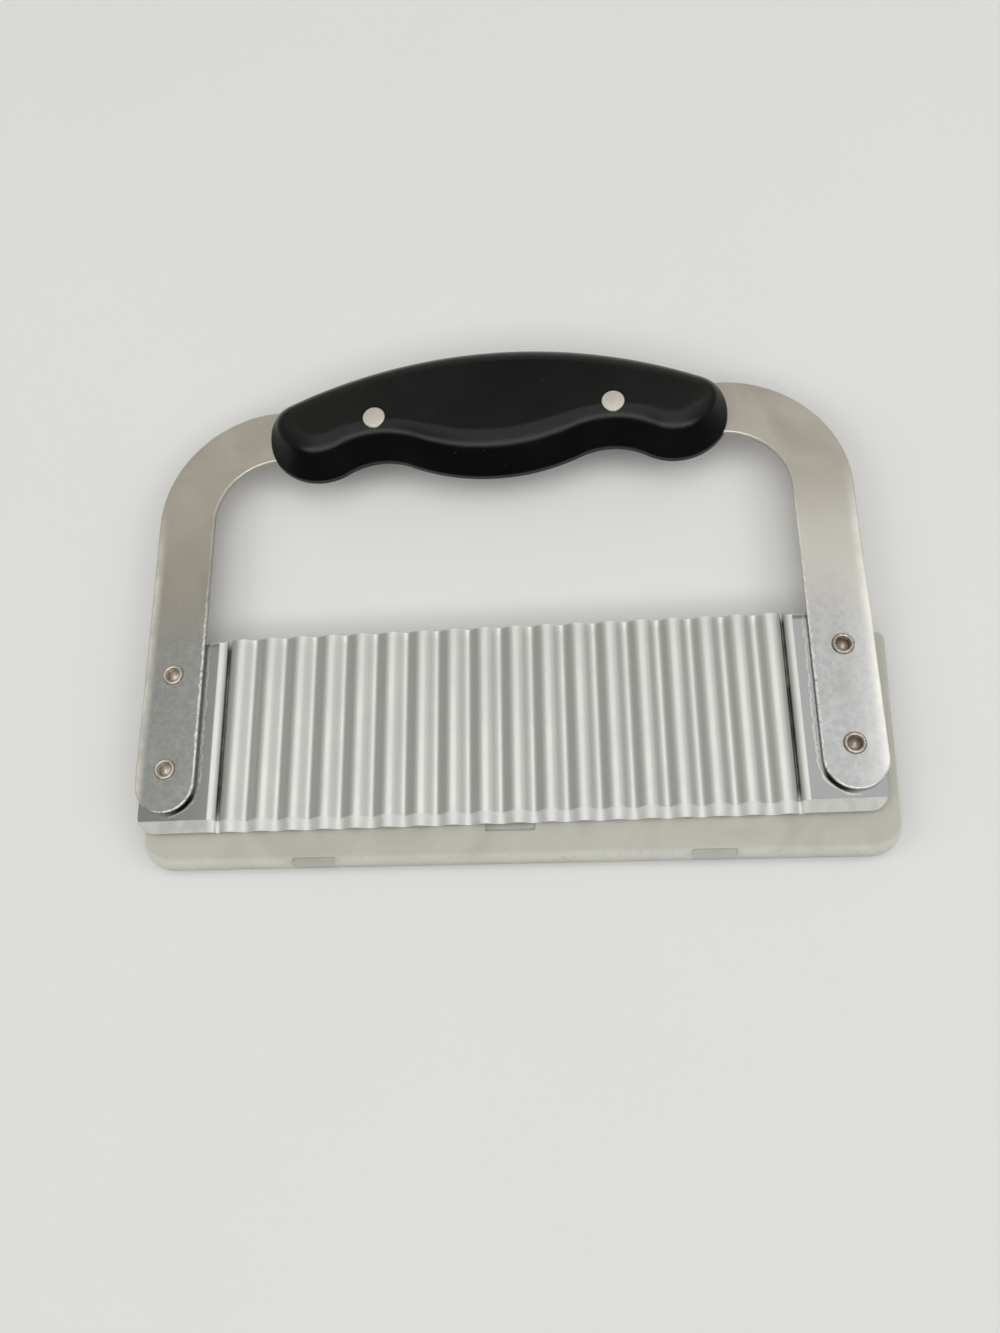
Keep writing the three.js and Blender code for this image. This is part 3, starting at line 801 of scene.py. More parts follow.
def etched_colour(tree, on):
    colour = tint(tree, on.blotches, ETCHED, ETCHED_LIGHT)
    colour = coat(tree, colour, on.stains, STAIN, share=0.35)
    colour = coat(tree, colour, on.fine, ETCHED_GRAIN, share=0.30)
    # Bright grains of grit, painted as glints on the etched steel.
    grit_glints = place_effect(tree, SPECKS, Spacing=1.9, Share=0.6)
    grit = place_effect(tree, SPECKS, Spacing=1.2, Share=0.8)
    near_edge = spread(tree, on.outward, inner_edge + GRIT_WIDTH, inner_edge + GRIT_FULL)
    grit_glints = reckon(tree, "MAXIMUM", grit_glints, product(tree, grit, near_edge))
    colour = coat(tree, colour, grit_glints, GRIT_AND_GLINT, share=0.9)
    outer = product(tree, spread(tree, on.outward, leg_x - OUTER_START, half_width), on.right)
    return coat(tree, colour, outer, OUTER_HALF, share=0.45)


print("bright grit within mm of the inner edge:", GRIT_WIDTH)

# %% Bow wear and painted light
SCRATCH = (0.30, 0.29, 0.27, 1)
LEFT_LEG_SHADE = (0.76, 0.765, 0.76, 1)
POLISH_AND_HIGHLIGHT = (0.98, 0.965, 0.90, 1)
RUBBED = (0.98, 0.965, 0.92, 1)
SHEARED_WALL_SHADE = (0.30, 0.285, 0.25, 1)
POLISH_WIDTH = 3.0
POLISH_FULL = 0.3
STAINED_POLISH = (0.6, 1.0)
UPPER_RUB = (0.4, 1.0)
WALL_START = 0.3
WALL_FULL = 0.6


def wear_and_painted_light(tree, on, colour):
    colour = coat(tree, colour, on.marks, SCRATCH, share=0.4)
    # Painted shade: the left leg is darkened, as it catches less of the room's light.
    shaded = product(tree, on.leg, reckon(tree, "SUBTRACT", 1.0, on.right))
    colour = tint(tree, shaded, colour, LEFT_LEG_SHADE, "MULTIPLY")
    # Painted highlight: a cream band along the outer edges stands for the sheen of the rims, which are also
    # polished.
    polish = spread(tree, on.outward, half_width - POLISH_WIDTH, half_width - POLISH_FULL)
    polish = product(tree, polish, ranged(tree, on.stains, *STAINED_POLISH), on.leg)
    colour = coat(tree, colour, polish, POLISH_AND_HIGHLIGHT)
    rubbed = product(tree, on.worn, ranged(tree, on.low_leg, *UPPER_RUB))
    colour = coat(tree, colour, rubbed, RUBBED)
    # Painted shade on the sheared side walls, which are also dull.
    wall = product(tree, spread(tree, on.height, bar_high - WALL_START, bar_high - WALL_FULL),
                   spread(tree, on.height, bar_low + WALL_START, bar_low + WALL_FULL))
    return coat(tree, colour, wall, SHEARED_WALL_SHADE, share=0.7)


print("hand polish within mm of the outer edge:", POLISH_WIDTH)

# %% Bow steel
BURR_WIDTH = 1.2
BURR_FULL = 0.6
BURR_LEFT_RIGHT = (1.1, 1.8)
OUTER_HIGHLIGHT_WIDTH = 1.6
OUTER_HIGHLIGHT_FULL = 0.4
OUTER_HIGHLIGHT_BLOTCHES = (0.5, 1.3)
BURR_AND_HIGHLIGHT_METAL = 0.2
SATIN_ROUGHNESS = (0.30, 0.36)
ETCHED_ROUGHNESS = (0.305, 0.285)
SCRATCH_ROUGHNESS = 0.12
ETCHED_RELIEF = 0.6
BOW_RELIEF = 0.005


# Painted highlight: the real burr and, low on the right leg, the outer edge are made white like paint.
def burr_and_highlight_mask(tree, on):
    inner = spread(tree, on.outward, inner_edge + BURR_WIDTH, inner_edge + BURR_FULL)
    burred = reckon(tree, "MAXIMUM", on.low_leg, product(tree, on.leg, on.right))
    burr = product(tree, on.worn, burred, inner, ranged(tree, on.right, *BURR_LEFT_RIGHT))
    outer_highlight = spread(tree, on.outward, half_width - OUTER_HIGHLIGHT_WIDTH, half_width - OUTER_HIGHLIGHT_FULL)
    outer_highlight = product(tree, outer_highlight, on.right, on.low_leg, ranged(tree, on.blotches, *OUTER_HIGHLIGHT_BLOTCHES))
    return reckon(tree, "MINIMUM", reckon(tree, "MAXIMUM", burr, outer_highlight), 1.0)


def bow_steel():
    material, tree, shader = steel_base("bow_steel")
    on = bow_masks(tree)
    colour = tint(tree, on.low_leg, satin_colour(tree, on), etched_colour(tree, on))
    feed(tree, shader.inputs["Base Color"], wear_and_painted_light(tree, on, colour))
    feed(tree, shader.inputs["Metallic"], ranged(tree, burr_and_highlight_mask(tree, on), 1.0, BURR_AND_HIGHLIGHT_METAL))
    satin = ranged(tree, on.dull, *SATIN_ROUGHNESS)
    rough = between(tree, on.leg, satin, ranged(tree, on.blotches, *ETCHED_ROUGHNESS))
    rough = reckon(tree, "MULTIPLY_ADD", on.marks, SCRATCH_ROUGHNESS, rough)
    feed(tree, shader.inputs["Roughness"], rough)
    lines = place_effect(tree, BRUSHED, Turn=radians(82), Length=14.0, Width=0.12)
    relief = reckon(tree, "MULTIPLY_ADD", product(tree, on.fine, on.low_leg), ETCHED_RELIEF, lines)
    bump(tree, shader, relief, BOW_RELIEF)
    return material


settle(bow, "cutter", "frame_steel", "bow_frame", bow_steel())

# %% [markdown]
# ## The blade
# A thin sheet pressed into eighteen waves with broad crests and tight valleys. At each end a
# slope comes down from a flat tab and meets the flank of the last wave in a narrow slit, and the
# lower edge is ground on the front. A wave modifier on a flat sheet would press the waves, but not
# the slits and the ground band. So a grid of points follows a formula: columns across the waves,
# rows up the blade.
# The wheel takes a little more from the crests than from the valleys, so the upper border of
# the ground band is scalloped, and the press leaves the valleys shallower at the top edge.

# %% Blade waves
SHEET = 0.6
WAVE_PITCH = 7.8
WAVE_DEPTH = 1.4
WAVE_FLATNESS = 0.1
WAVE_COUNT = 18
SLOPE_START = 1.6
SLOPE_END = -0.6
FIRST_WAVE = -1.4
SLIT_DIP = 0.45
RAMP_DROP = 0.55
RAMP_CURVE = 1.6
SLOPE_REACH = 0.01

blade_low, blade_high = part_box("corrugated_blade")
blade_edge, blade_top = blade_low.y / MM, blade_high.y / MM
tab_end = blade_high.x / MM
blade_front = bar_low
last_valley = WAVE_PITCH * WAVE_COUNT / 2
tab_start = last_valley + SLOPE_START
deepest = blade_front - WAVE_DEPTH - SHEET


def pressed_wave(beyond):
    phase = 2 * pi * beyond / WAVE_PITCH + pi
    return WAVE_DEPTH / 2 * (cos(phase) - WAVE_FLATNESS * cos(2 * phase) - 1 + WAVE_FLATNESS)


def wave_height(x):
    beyond = abs(x) - last_valley
    if beyond <= FIRST_WAVE:
        return pressed_wave(beyond)
    if beyond >= SLOPE_START:
        return 0.0
    if beyond >= SLOPE_END:
        return -RAMP_DROP * ((SLOPE_START - beyond) / (SLOPE_START - SLOPE_END)) ** RAMP_CURVE
    share = (beyond - FIRST_WAVE) / (SLOPE_END - FIRST_WAVE)
    flank = pressed_wave(FIRST_WAVE)
    return flank + (-RAMP_DROP - flank) * share - SLIT_DIP * sin(pi * share)


def wave_slope(x):
    return (wave_height(x + SLOPE_REACH) - wave_height(x - SLOPE_REACH)) / (2 * SLOPE_REACH)


print("waves run to x in mm:", last_valley, "tabs start at:", tab_start)

# %% Blade grid
GROUND_BAND = 2.8
GROUND_SCALLOP = 0.4
TAB_CORNER = 4.5
TAB_TOP_TRIM = 0.6
PRESS_END = 2.2
COLUMNS_PER_WAVE = 24
SLIT_COLUMNS = 10
SLOPE_COLUMNS = 14
FLAT_COLUMNS = 6
CORNER_COLUMNS = 12
GROUND_ROWS = 3
BODY_ROWS = 9
LIP_ROWS = 5


def even_steps(start, end, count):
    return [start + (end - start) * k / count for k in range(1, count + 1)]


def blade_columns():
    waves_end = last_valley + FIRST_WAVE
    slit_end = last_valley + SLOPE_END
    flat_end = tab_end - TAB_CORNER
    right = even_steps(0.0, waves_end, round(COLUMNS_PER_WAVE * waves_end / WAVE_PITCH))
    right += even_steps(waves_end, slit_end, SLIT_COLUMNS)
    right += even_steps(slit_end, tab_start, SLOPE_COLUMNS)
    right += even_steps(tab_start, flat_end, FLAT_COLUMNS)
    turns = even_steps(0.0, pi / 2, CORNER_COLUMNS)
    right += [flat_end + TAB_CORNER * sin(turn) for turn in turns]
    return [-x for x in reversed(right)] + [0.0] + right


def lower_limit(x):
    into = max(0.0, abs(x) - (tab_end - TAB_CORNER))
    return blade_edge + TAB_CORNER - sqrt(max(0.0, TAB_CORNER ** 2 - into ** 2))


def ground_border(x):
    return blade_edge + GROUND_BAND + GROUND_SCALLOP * (wave_height(x) / WAVE_DEPTH + 0.5)


def blade_rows(x):
    border = ground_border(x)
    top = blade_top - (TAB_TOP_TRIM if abs(x) > last_valley else 0.0)
    rows = [blade_edge] + even_steps(blade_edge, border, GROUND_ROWS)
    rows += even_steps(border, top - PRESS_END, BODY_ROWS)
    rows += even_steps(top - PRESS_END, top, LIP_ROWS)
    return [max(y, lower_limit(x)) for y in rows]


print("blade grid:", len(blade_columns()), "columns,", len(blade_rows(0.0)), "rows")

# %% Blade sheet
EDGE_THICKNESS = 0.15
PRESS_LIFT = 0.15
TAB_ROLL = 0.22
TAB_ROLL_WIDTH = 1.3
SHEET_WANDER = 0.05
WANDER_ACROSS = 13
WANDER_ALONG = 30
WANDER_LAYER = 1.7


def sheet_point(x, y, front):
    z = wave_height(x)
    near_top = max(0.0, 1 - (blade_top - y) / PRESS_END)
    z *= 1 - PRESS_LIFT * near_top ** 2
    inside = min(1.0, max(0.0, (last_valley - abs(x)) / WAVE_PITCH))
    wander = noise.noise(Vector((x / WANDER_ACROSS, y / WANDER_ALONG, WANDER_LAYER)))
    z -= inside * SHEET_WANDER * (0.5 + 0.5 * wander)
    if abs(x) > tab_start:
        roll = max(0.0, 1 - (blade_top - TAB_TOP_TRIM - y) / TAB_ROLL_WIDTH)
        z -= TAB_ROLL * roll ** 2
    back = max(deepest, blade_front + z - SHEET * hypot(1, wave_slope(x)))
    if not front:
        return Vector((x, y, back))
    ground = min(1.0, max(0.0, (ground_border(x) - y) / (ground_border(x) - blade_edge)))
    face = blade_front + z
    return Vector((x, y, face + ground * (back + EDGE_THICKNESS - face)))


def sheet_grids(bm):
    edge = bm.verts.layers.float.new("edge")
    grids = []
    for front in (True, False):
        grid = [[bm.verts.new(sheet_point(x, y, front)) for y in blade_rows(x)] for x in blade_columns()]
        for column in grid:
            column[0][edge] = 1.0
            column[-1][edge] = 1.0
        grids.append(grid)
    return grids


print("sheet in mm:", SHEET, "ground to:", EDGE_THICKNESS)

# %% Blade shape
MERGE = 0.0005


def sheet_faces(bm, front, back):
    last = len(front[0]) - 1
    for k in range(len(front) - 1):
        for row in range(last):
            face = bm.faces.new((front[k][row], front[k + 1][row], front[k + 1][row + 1], front[k][row + 1]))
            face.material_index = 1 if row < GROUND_ROWS else 0
            bm.faces.new((back[k][row], back[k][row + 1], back[k + 1][row + 1], back[k + 1][row]))
        for row in (0, last):
            bm.faces.new((front[k][row], back[k][row], back[k + 1][row], front[k + 1][row]))
    for k in (0, -1):
        for row in range(last):
            bm.faces.new((front[k][row], front[k][row + 1], back[k][row + 1], back[k][row]))
    for k in range(len(front) - 1):
        crease = bm.edges.get((front[k][GROUND_ROWS], front[k + 1][GROUND_ROWS]))
        crease.smooth = False


def blade_shape():
    bm = bmesh.new()
    sheet_faces(bm, *sheet_grids(bm))
    bmesh.ops.remove_doubles(bm, verts=bm.verts, dist=MERGE)
    bmesh.ops.dissolve_degenerate(bm, dist=MERGE, edges=bm.edges)
    bmesh.ops.recalc_face_normals(bm, faces=bm.faces)
    for edge in bm.edges:
        if len(edge.link_faces) == 2 and edge.calc_face_angle() > radians(SHARP_ANGLE):
            edge.smooth = False
    for face in bm.faces:
        face.smooth = True
    return bm


def blade_object():
    mesh = bpy.data.meshes.new("wave_blade")
    bm = blade_shape()
    bm.to_mesh(mesh)
    bm.free()
    piece = bpy.data.objects.new("wave_blade", mesh)
    bpy.context.collection.objects.link(piece)
    return piece


blade = blade_object()
print("blade faces:", len(blade.data.polygons))

# %% [markdown]
# The sheet is bright rolled stainless: fine lines, broad smudges from wiping, and a few
# scratches. The ground band is the same metal with a duller, finely scored face, so it is a
# second material on the same mesh. Beside each leg, water has left a wandering pale line on the
# tab, and a painted shadow, with a little dirt, lies in the corner under the leg's round end. Both
# follow the distance from the leg's outline, which is the distance from a line that ends in a
# point, less half a bar. The tabs are painted darker for the dark they reflect, the slopes are
# painted darker towards the slits, and the slits are painted in deep shade.

# %% Marks and painted shadow beside the legs
MARK_GAP = 0.95
MARK_HALF = 0.34
MARK_CORE = 0.3
MARK_WANDER = 0.6
MARK_SIDES = (1.0, -1.0)
MARK_MIDDLE = 10.0
MARK_LEFT_SHARE = 0.35
MARK_FADE = 12.0
MARK_TOP_SHARE = 0.3
MARK_BREAKS = (0.02, 0.35)
CRESCENT_GAPS = (0.9, 0.5)
CRESCENT_SIDES = (1.0, -4.0)
CRESCENT_DEPTHS = (-1.0, -4.5)


def leg_distance(tree, place, outward):
    side = reckon(tree, "SUBTRACT", outward, leg_x)
    below = reckon(tree, "MINIMUM", reckon(tree, "SUBTRACT", place["Y"], tail_y), 0.0)
    square = reckon(tree, "MULTIPLY_ADD", side, side, reckon(tree, "MULTIPLY", below, below))
    return reckon(tree, "SUBTRACT", reckon(tree, "SQRT", square), half_bar), side, below


def leg_marks(tree, place, outward):
    distance, side = leg_distance(tree, place, outward)[:2]
    wander = place_effect(tree, SMUDGES, Size=3.2)
    middle = ranged(tree, wander, MARK_GAP - MARK_WANDER / 2, MARK_GAP + MARK_WANDER / 2)
    away = reckon(tree, "ABSOLUTE", reckon(tree, "SUBTRACT", distance, middle))
    mark = spread(tree, away, MARK_HALF, MARK_HALF * MARK_CORE)
    right = spread(tree, place["X"], -MARK_MIDDLE, MARK_MIDDLE, MARK_LEFT_SHARE, 1.0)
    lower = spread(tree, place["Y"], blade_top, blade_top - MARK_FADE, MARK_TOP_SHARE, 1.0)
    inner = spread(tree, side, *MARK_SIDES)
    unbroken = spread(tree, place_effect(tree, SMUDGES, Size=1.1), *MARK_BREAKS)
    return product(tree, mark, right, lower, inner, unbroken)


# Painted shadow, with a little dirt, in the corner under each leg's round end.
def leg_crescent_shadow(tree, place, outward):
    distance, side, below = leg_distance(tree, place, outward)
    near = spread(tree, distance, *CRESCENT_GAPS)
    return product(tree, near, spread(tree, side, *CRESCENT_SIDES), spread(tree, below, *CRESCENT_DEPTHS))


print("pale line beside the legs, mm away:", MARK_GAP)

# %% Painted shade at the blade's ends
SLOPE_SHADE = (0.12, 0.12, 0.115, 1)
SLOPE_SHADE_START = 0.9
SLOPE_SHADE_SHARE = 0.55
SLOPE_SHADE_END = 1.2
SLOPE_SHADE_END_FULL = 0.8
SLIT_SHADE = (0.012, 0.011, 0.010, 1)
SLIT_SHADE_SHARE = (0.60, 0.85)
SLIT_MIDDLE = (FIRST_WAVE + SLOPE_END) / 2
SLIT_HALF = 0.42
SLIT_OUTSIDE = 1.5
SLIT_INSIDE = 0.5
SHADE_TOP = 1.3
SHADE_BOTTOM = (0.8, 2.2)


def slit_shade(tree, place, outward, colour):
    # Painted shade: the slope darkens towards the slit.
    slope_shade = spread(tree, outward, tab_start - SLOPE_SHADE_START, last_valley + SLOPE_END, 0.0, SLOPE_SHADE_SHARE)
    stop = spread(tree, outward, last_valley - SLOPE_SHADE_END, last_valley - SLOPE_SHADE_END_FULL)
    colour = coat(tree, colour, product(tree, slope_shade, stop), SLOPE_SHADE)
    # Painted shade: the narrow slit is near black, patchy along its length.
    away = reckon(tree, "ABSOLUTE", reckon(tree, "SUBTRACT", outward, last_valley + SLIT_MIDDLE))
    inside = spread(tree, away, SLIT_HALF * SLIT_OUTSIDE, SLIT_HALF * SLIT_INSIDE)
    patchy_shade = ranged(tree, place_effect(tree, SMUDGES, Size=6.0), *SLIT_SHADE_SHARE)
    top = spread(tree, place["Y"], blade_top, blade_top - PRESS_END * SHADE_TOP)
    bottom = spread(tree, place["Y"], *[blade_edge + GROUND_BAND * share for share in SHADE_BOTTOM])
    return coat(tree, colour, product(tree, inside, patchy_shade, top, bottom), SLIT_SHADE)


print("slits at x in mm:", round(last_valley + SLIT_MIDDLE, 2))

# %% Blade steel
SHEET_BRIGHT = (0.88, 0.885, 0.853, 1)
SHEET_WIPED = (0.84, 0.85, 0.836, 1)
SHEET_LINE = (0.52, 0.52, 0.52, 1)
SHEET_EDGE = (0.92, 0.92, 0.91, 1)
TAB_DARK_REFLECTION = (0.37, 0.375, 0.38, 1)
TAB_BORDER = (-0.45, -0.05)
RESIDUE = (0.80, 0.79, 0.75, 1)
CRESCENT_SHADOW = (0.02, 0.018, 0.016, 1)
SHEET_ROUGHNESS = (0.265, 0.315)
TAB_ROUGHNESS = (0.10, 0.15)
LINE_ROUGHNESS = 0.06
MARK_ROUGHNESS = 0.14
RESIDUE_ROUGHNESS = 0.4
SHEET_RELIEF = 0.004


def blade_steel():
    material, tree, shader = steel_base("blade_steel")
    place = axes(tree)
    outward = reckon(tree, "ABSOLUTE", place["X"])
    tab = spread(tree, outward, *[tab_start + border for border in TAB_BORDER])
    lines = place_effect(tree, BRUSHED, Turn=radians(90), Length=16.0, Width=0.10)
    wiped = place_effect(tree, SMUDGES, Size=14.0)
    marks = place_effect(tree, SCRATCHES, Turn=radians(74), Share=0.13)
    residue = leg_marks(tree, place, outward)
    colour = tint(tree, wiped, SHEET_BRIGHT, SHEET_WIPED)
    colour = coat(tree, colour, lines, SHEET_LINE, share=0.22)
    # Painted reflection: the tabs are darker, for the dark they reflect.
    colour = coat(tree, colour, tab, TAB_DARK_REFLECTION)
    colour = coat(tree, colour, place_effect(tree, WEAR, Size=2.0, Share=0.6), SHEET_EDGE)
    colour = coat(tree, colour, residue, RESIDUE)
    # Painted shadow under the leg's round end.
    colour = coat(tree, colour, leg_crescent_shadow(tree, place, outward), CRESCENT_SHADOW)
    feed(tree, shader.inputs["Base Color"], slit_shade(tree, place, outward, colour))
    rough = ranged(tree, wiped, *SHEET_ROUGHNESS)
    rough = reckon(tree, "MULTIPLY_ADD", lines, LINE_ROUGHNESS, rough)
    rough = reckon(tree, "MULTIPLY_ADD", marks, MARK_ROUGHNESS, rough)
    rough = between(tree, tab, rough, ranged(tree, wiped, *TAB_ROUGHNESS))
    rough = reckon(tree, "MULTIPLY_ADD", residue, RESIDUE_ROUGHNESS, rough)
    feed(tree, shader.inputs["Roughness"], rough)
    bump(tree, shader, lines, SHEET_RELIEF)
    return material


sheet_steel = blade_steel()
print("finish:", sheet_steel.name)

# %% Ground steel
GROUND_SCORED = (0.80, 0.80, 0.79, 1)
GROUND_BRIGHT = (0.97, 0.97, 0.96, 1)
GROUND_TAB = (0.60, 0.60, 0.58, 1)
GROUND_TAB_LIGHT = (0.76, 0.76, 0.74, 1)
GROUND_TAB_BORDER = 2.0
GROUND_ROUGHNESS = (0.52, 0.62)
GROUND_RELIEF = 0.006


def ground_steel():
    material, tree, shader = steel_base("ground_steel")
    scores = place_effect(tree, BRUSHED, Turn=radians(4), Length=5.0, Width=0.08)
    wiped = place_effect(tree, SMUDGES, Size=5.0)
    outward = reckon(tree, "ABSOLUTE", axes(tree)["X"])
    tab = spread(tree, outward, tab_start - GROUND_TAB_BORDER, tab_start)
    edge_colour = tint(tree, scores, GROUND_SCORED, GROUND_BRIGHT)
    tab_colour = tint(tree, wiped, GROUND_TAB, GROUND_TAB_LIGHT)
    feed(tree, shader.inputs["Base Color"], tint(tree, tab, edge_colour, tab_colour))
    feed(tree, shader.inputs["Roughness"], ranged(tree, wiped, *GROUND_ROUGHNESS))
    bump(tree, shader, scores, GROUND_RELIEF)
    return material


settle(blade, "cutter", "blade_steel", "corrugated_blade", sheet_steel, ground_steel())

# %% [markdown]
# ## Blade rivets
# Four semi-tubular rivets hold the blade behind the legs. The low head sits behind the tab and
# the hollow end is rolled over the leg's front into a ring with a cup and a small pip in it.
# All of that is round, so one profile is turned about the rivet's axis. A screw modifier would
# turn it too, but here each point of a profile is a radius, a height and a value for the edge
# attribute, which on these rivets also goes below 0 in the cup, where the colour is darker.

# %% Lathe helper
TURN_STEPS = 72


def turned(profile, place, name):
    bm = bmesh.new()
    edge = bm.verts.layers.float.new("edge")
    rings = []
    for radius, z, worn in profile:
        count = TURN_STEPS if radius > 0 else 1
        ring = []
        for k in range(count):
            angle = 2 * pi * k / TURN_STEPS
            vertex = bm.verts.new((place[0] + radius * cos(angle), place[1] + radius * sin(angle), z))
            vertex[edge] = worn
            ring.append(vertex)
        rings.append(ring)
    for first, second in zip(rings, rings[1:]):
        for k in range(TURN_STEPS):
            after = (k + 1) % TURN_STEPS
            corners = [first[k % len(first)], first[after % len(first)]]
            corners += [second[after % len(second)], second[k % len(second)]]
            bm.faces.new(list(dict.fromkeys(corners)))
    bmesh.ops.recalc_face_normals(bm, faces=bm.faces)
    return as_object(bm, name)


print("steps round a turned piece:", TURN_STEPS)

# %% Blade rivet profile
HEAD_FLAT = 2.6
HEAD_DIAMETER = 6.8
HEAD_HEIGHT = 1.0
HEAD_WEAR = 0.4
HEAD_STEPS = 8
SHANK = 3.6
ROLL_DIAMETER = 5.4
ROLL_HEIGHT = 0.7
ROLL_STEPS = 12
CUP_DIAMETER = 3.2
CUP_FLOOR = 2.7
CUP_DEPTH = 0.6
CUP_CURVE = 0.6
CUP_STEPS = 5
CUP_DARK_MARK = -1
PIP_HEIGHT = 0.42
PIP_WEAR = 1.2
PIP_STEPS = 7


def rivet_head(seat):
    points = [(0, seat - HEAD_HEIGHT, 0)]
    for k in range(HEAD_STEPS + 1):
        angle = pi / 2 * k / HEAD_STEPS
        reach = (HEAD_DIAMETER - HEAD_FLAT) / 2 * sin(angle)
        points.append((HEAD_FLAT / 2 + reach, seat - HEAD_HEIGHT * cos(angle), HEAD_WEAR))
    return points


def rivet_roll():
    middle = (ROLL_DIAMETER + CUP_DIAMETER) / 4
    half = (ROLL_DIAMETER - CUP_DIAMETER) / 4
    angles = [pi * k / ROLL_STEPS for k in range(ROLL_STEPS + 1)]
    return [(middle + half * cos(a), bar_high + ROLL_HEIGHT * sin(a), sin(a) ** 2) for a in angles]


def rivet_cup():
    points = []
    for angle in even_steps(0.0, pi / 2, CUP_STEPS):
        radius = CUP_DIAMETER / 2 - (CUP_DIAMETER - CUP_FLOOR) / 2 * sin(angle)
        points.append((radius, bar_high - CUP_DEPTH * (1 - cos(angle)) ** CUP_CURVE, CUP_DARK_MARK))
    for share in even_steps(0.0, 1.0, PIP_STEPS):
        lift = PIP_HEIGHT * (0.5 - 0.5 * cos(pi * share))
        worn = CUP_DARK_MARK + share * (PIP_WEAR - CUP_DARK_MARK)
        points.append((CUP_FLOOR / 2 * (1 - share), bar_high - CUP_DEPTH + lift, worn))
    return points


def blade_rivet_profile():
    seat = blade_front - SHEET
    shank = [(SHANK / 2, seat, 0), (SHANK / 2, bar_high, 0)]
    return rivet_head(seat) + shank + rivet_roll() + rivet_cup()


print("points in the rivet's profile:", len(blade_rivet_profile()))

# %% Blade rivets
RIVET_RUBBED = (0.76, 0.71, 0.63, 1)
RIVET_CUP_DARK = (0.20, 0.165, 0.13, 1)
CLEAN_NICKEL = ((0.58, 0.54, 0.46, 1), (0.72, 0.68, 0.59, 1))
AGED_NICKEL = ((0.40, 0.35, 0.30, 1), (0.54, 0.48, 0.42, 1))
CLEAN_CUP_DARKNESS = 0.45
AGED_CUP_DARKNESS = 0.75
CUP_DARK_RANGE = (0.0, -0.8)
RUBBED_EDGE = (0.2, 1.0)
NICKEL_ROUGHNESS = (0.40, 0.28)
NICKEL_RELIEF = 0.012


def rivet_metal(name, shades, cup_darkness):
    material, tree, shader = steel_base(name)
    edge = edge_attribute(tree)
    blotches = place_effect(tree, MOTTLE, Size=0.7)
    colour = tint(tree, blotches, *shades)
    rubbed = product(tree, spread(tree, edge, *RUBBED_EDGE), blotches)
    colour = coat(tree, colour, rubbed, RIVET_RUBBED)
    # The cup and the ring's groove are coloured darker.
    colour = coat(tree, colour, spread(tree, edge, *CUP_DARK_RANGE), RIVET_CUP_DARK, share=cup_darkness)
    feed(tree, shader.inputs["Base Color"], colour)
    feed(tree, shader.inputs["Roughness"], ranged(tree, blotches, *NICKEL_ROUGHNESS))
    bump(tree, shader, blotches, NICKEL_RELIEF)
    return material


clean_nickel = rivet_metal("clean_nickel", CLEAN_NICKEL, CLEAN_CUP_DARKNESS)
aged_nickel = rivet_metal("aged_nickel", AGED_NICKEL, AGED_CUP_DARKNESS)
for side, x, metal in (("left", -leg_x, clean_nickel), ("right", leg_x, aged_nickel)):
    for row, y in (("bottom", 0.0), ("top", RIVET_SPACING)):
        rivet = turned(blade_rivet_profile(), (x, y), f"tube_rivet_{side}_{row}")
        settle(rivet, "cutter", "rivet_metal", f"blade_rivet_{side}_{row}", metal)

# %% [markdown]
# ## The grip
# Two black moulded scales, alike, meet in the middle of the bar's thickness. They could be
# sculpted, but arcs keep the outline smooth, and each radius can be changed alone. It is a chain of
# tangent arcs: a belly for the middle fingers, a hollow and a bump on each side, round ends, and
# one long crown. Where two arcs meet, the contact lies on the line through their centres, so
# every angle follows from the centres alone. The crown has a plain rounding. The finger side
# slopes out from a rounded shoulder to a small nose at the parting line, which stands slightly
# proud of the plainer solid. One section turns into the other round the ends, by how far the
# outline faces the fingers.

# %% Grip outline
GRIP_CROWN_RADIUS = 130.0
GRIP_BELLY_RADIUS = 54.0
GROOVE_SPACING = 60.0
GROOVE_RADIUS = 18.2
BUMP_RADIUS = 14.5
GRIP_END_RADIUS = 10.1
FINGER_PROUD = 0.95
END_PROUD = 0.25
# The belly starts and the crown ends just off the centre line.
BELLY_START = -89.99
CROWN_END = 89.995

scale_low, scale_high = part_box("grip_front_scale")
grip_end = scale_high.x / MM + END_PROUD
grip_top, grip_bottom = scale_high.y / MM, scale_low.y / MM - FINGER_PROUD
grip_split, grip_face = scale_low.z / MM, scale_high.z / MM


def heading(start, end):
    return degrees(atan2(end[1] - start[1], end[0] - start[0]))


def bump_centre(groove, end):
    reach, near = GROOVE_RADIUS + BUMP_RADIUS, BUMP_RADIUS - GRIP_END_RADIUS
    gap = hypot(end[0] - groove[0], end[1] - groove[1])
    along = (reach ** 2 - near ** 2 + gap ** 2) / (2 * gap)
    off = sqrt(reach ** 2 - along ** 2)
    ux, uy = (end[0] - groove[0]) / gap, (end[1] - groove[1]) / gap
    return groove[0] + ux * along - uy * off, groove[1] + uy * along + ux * off


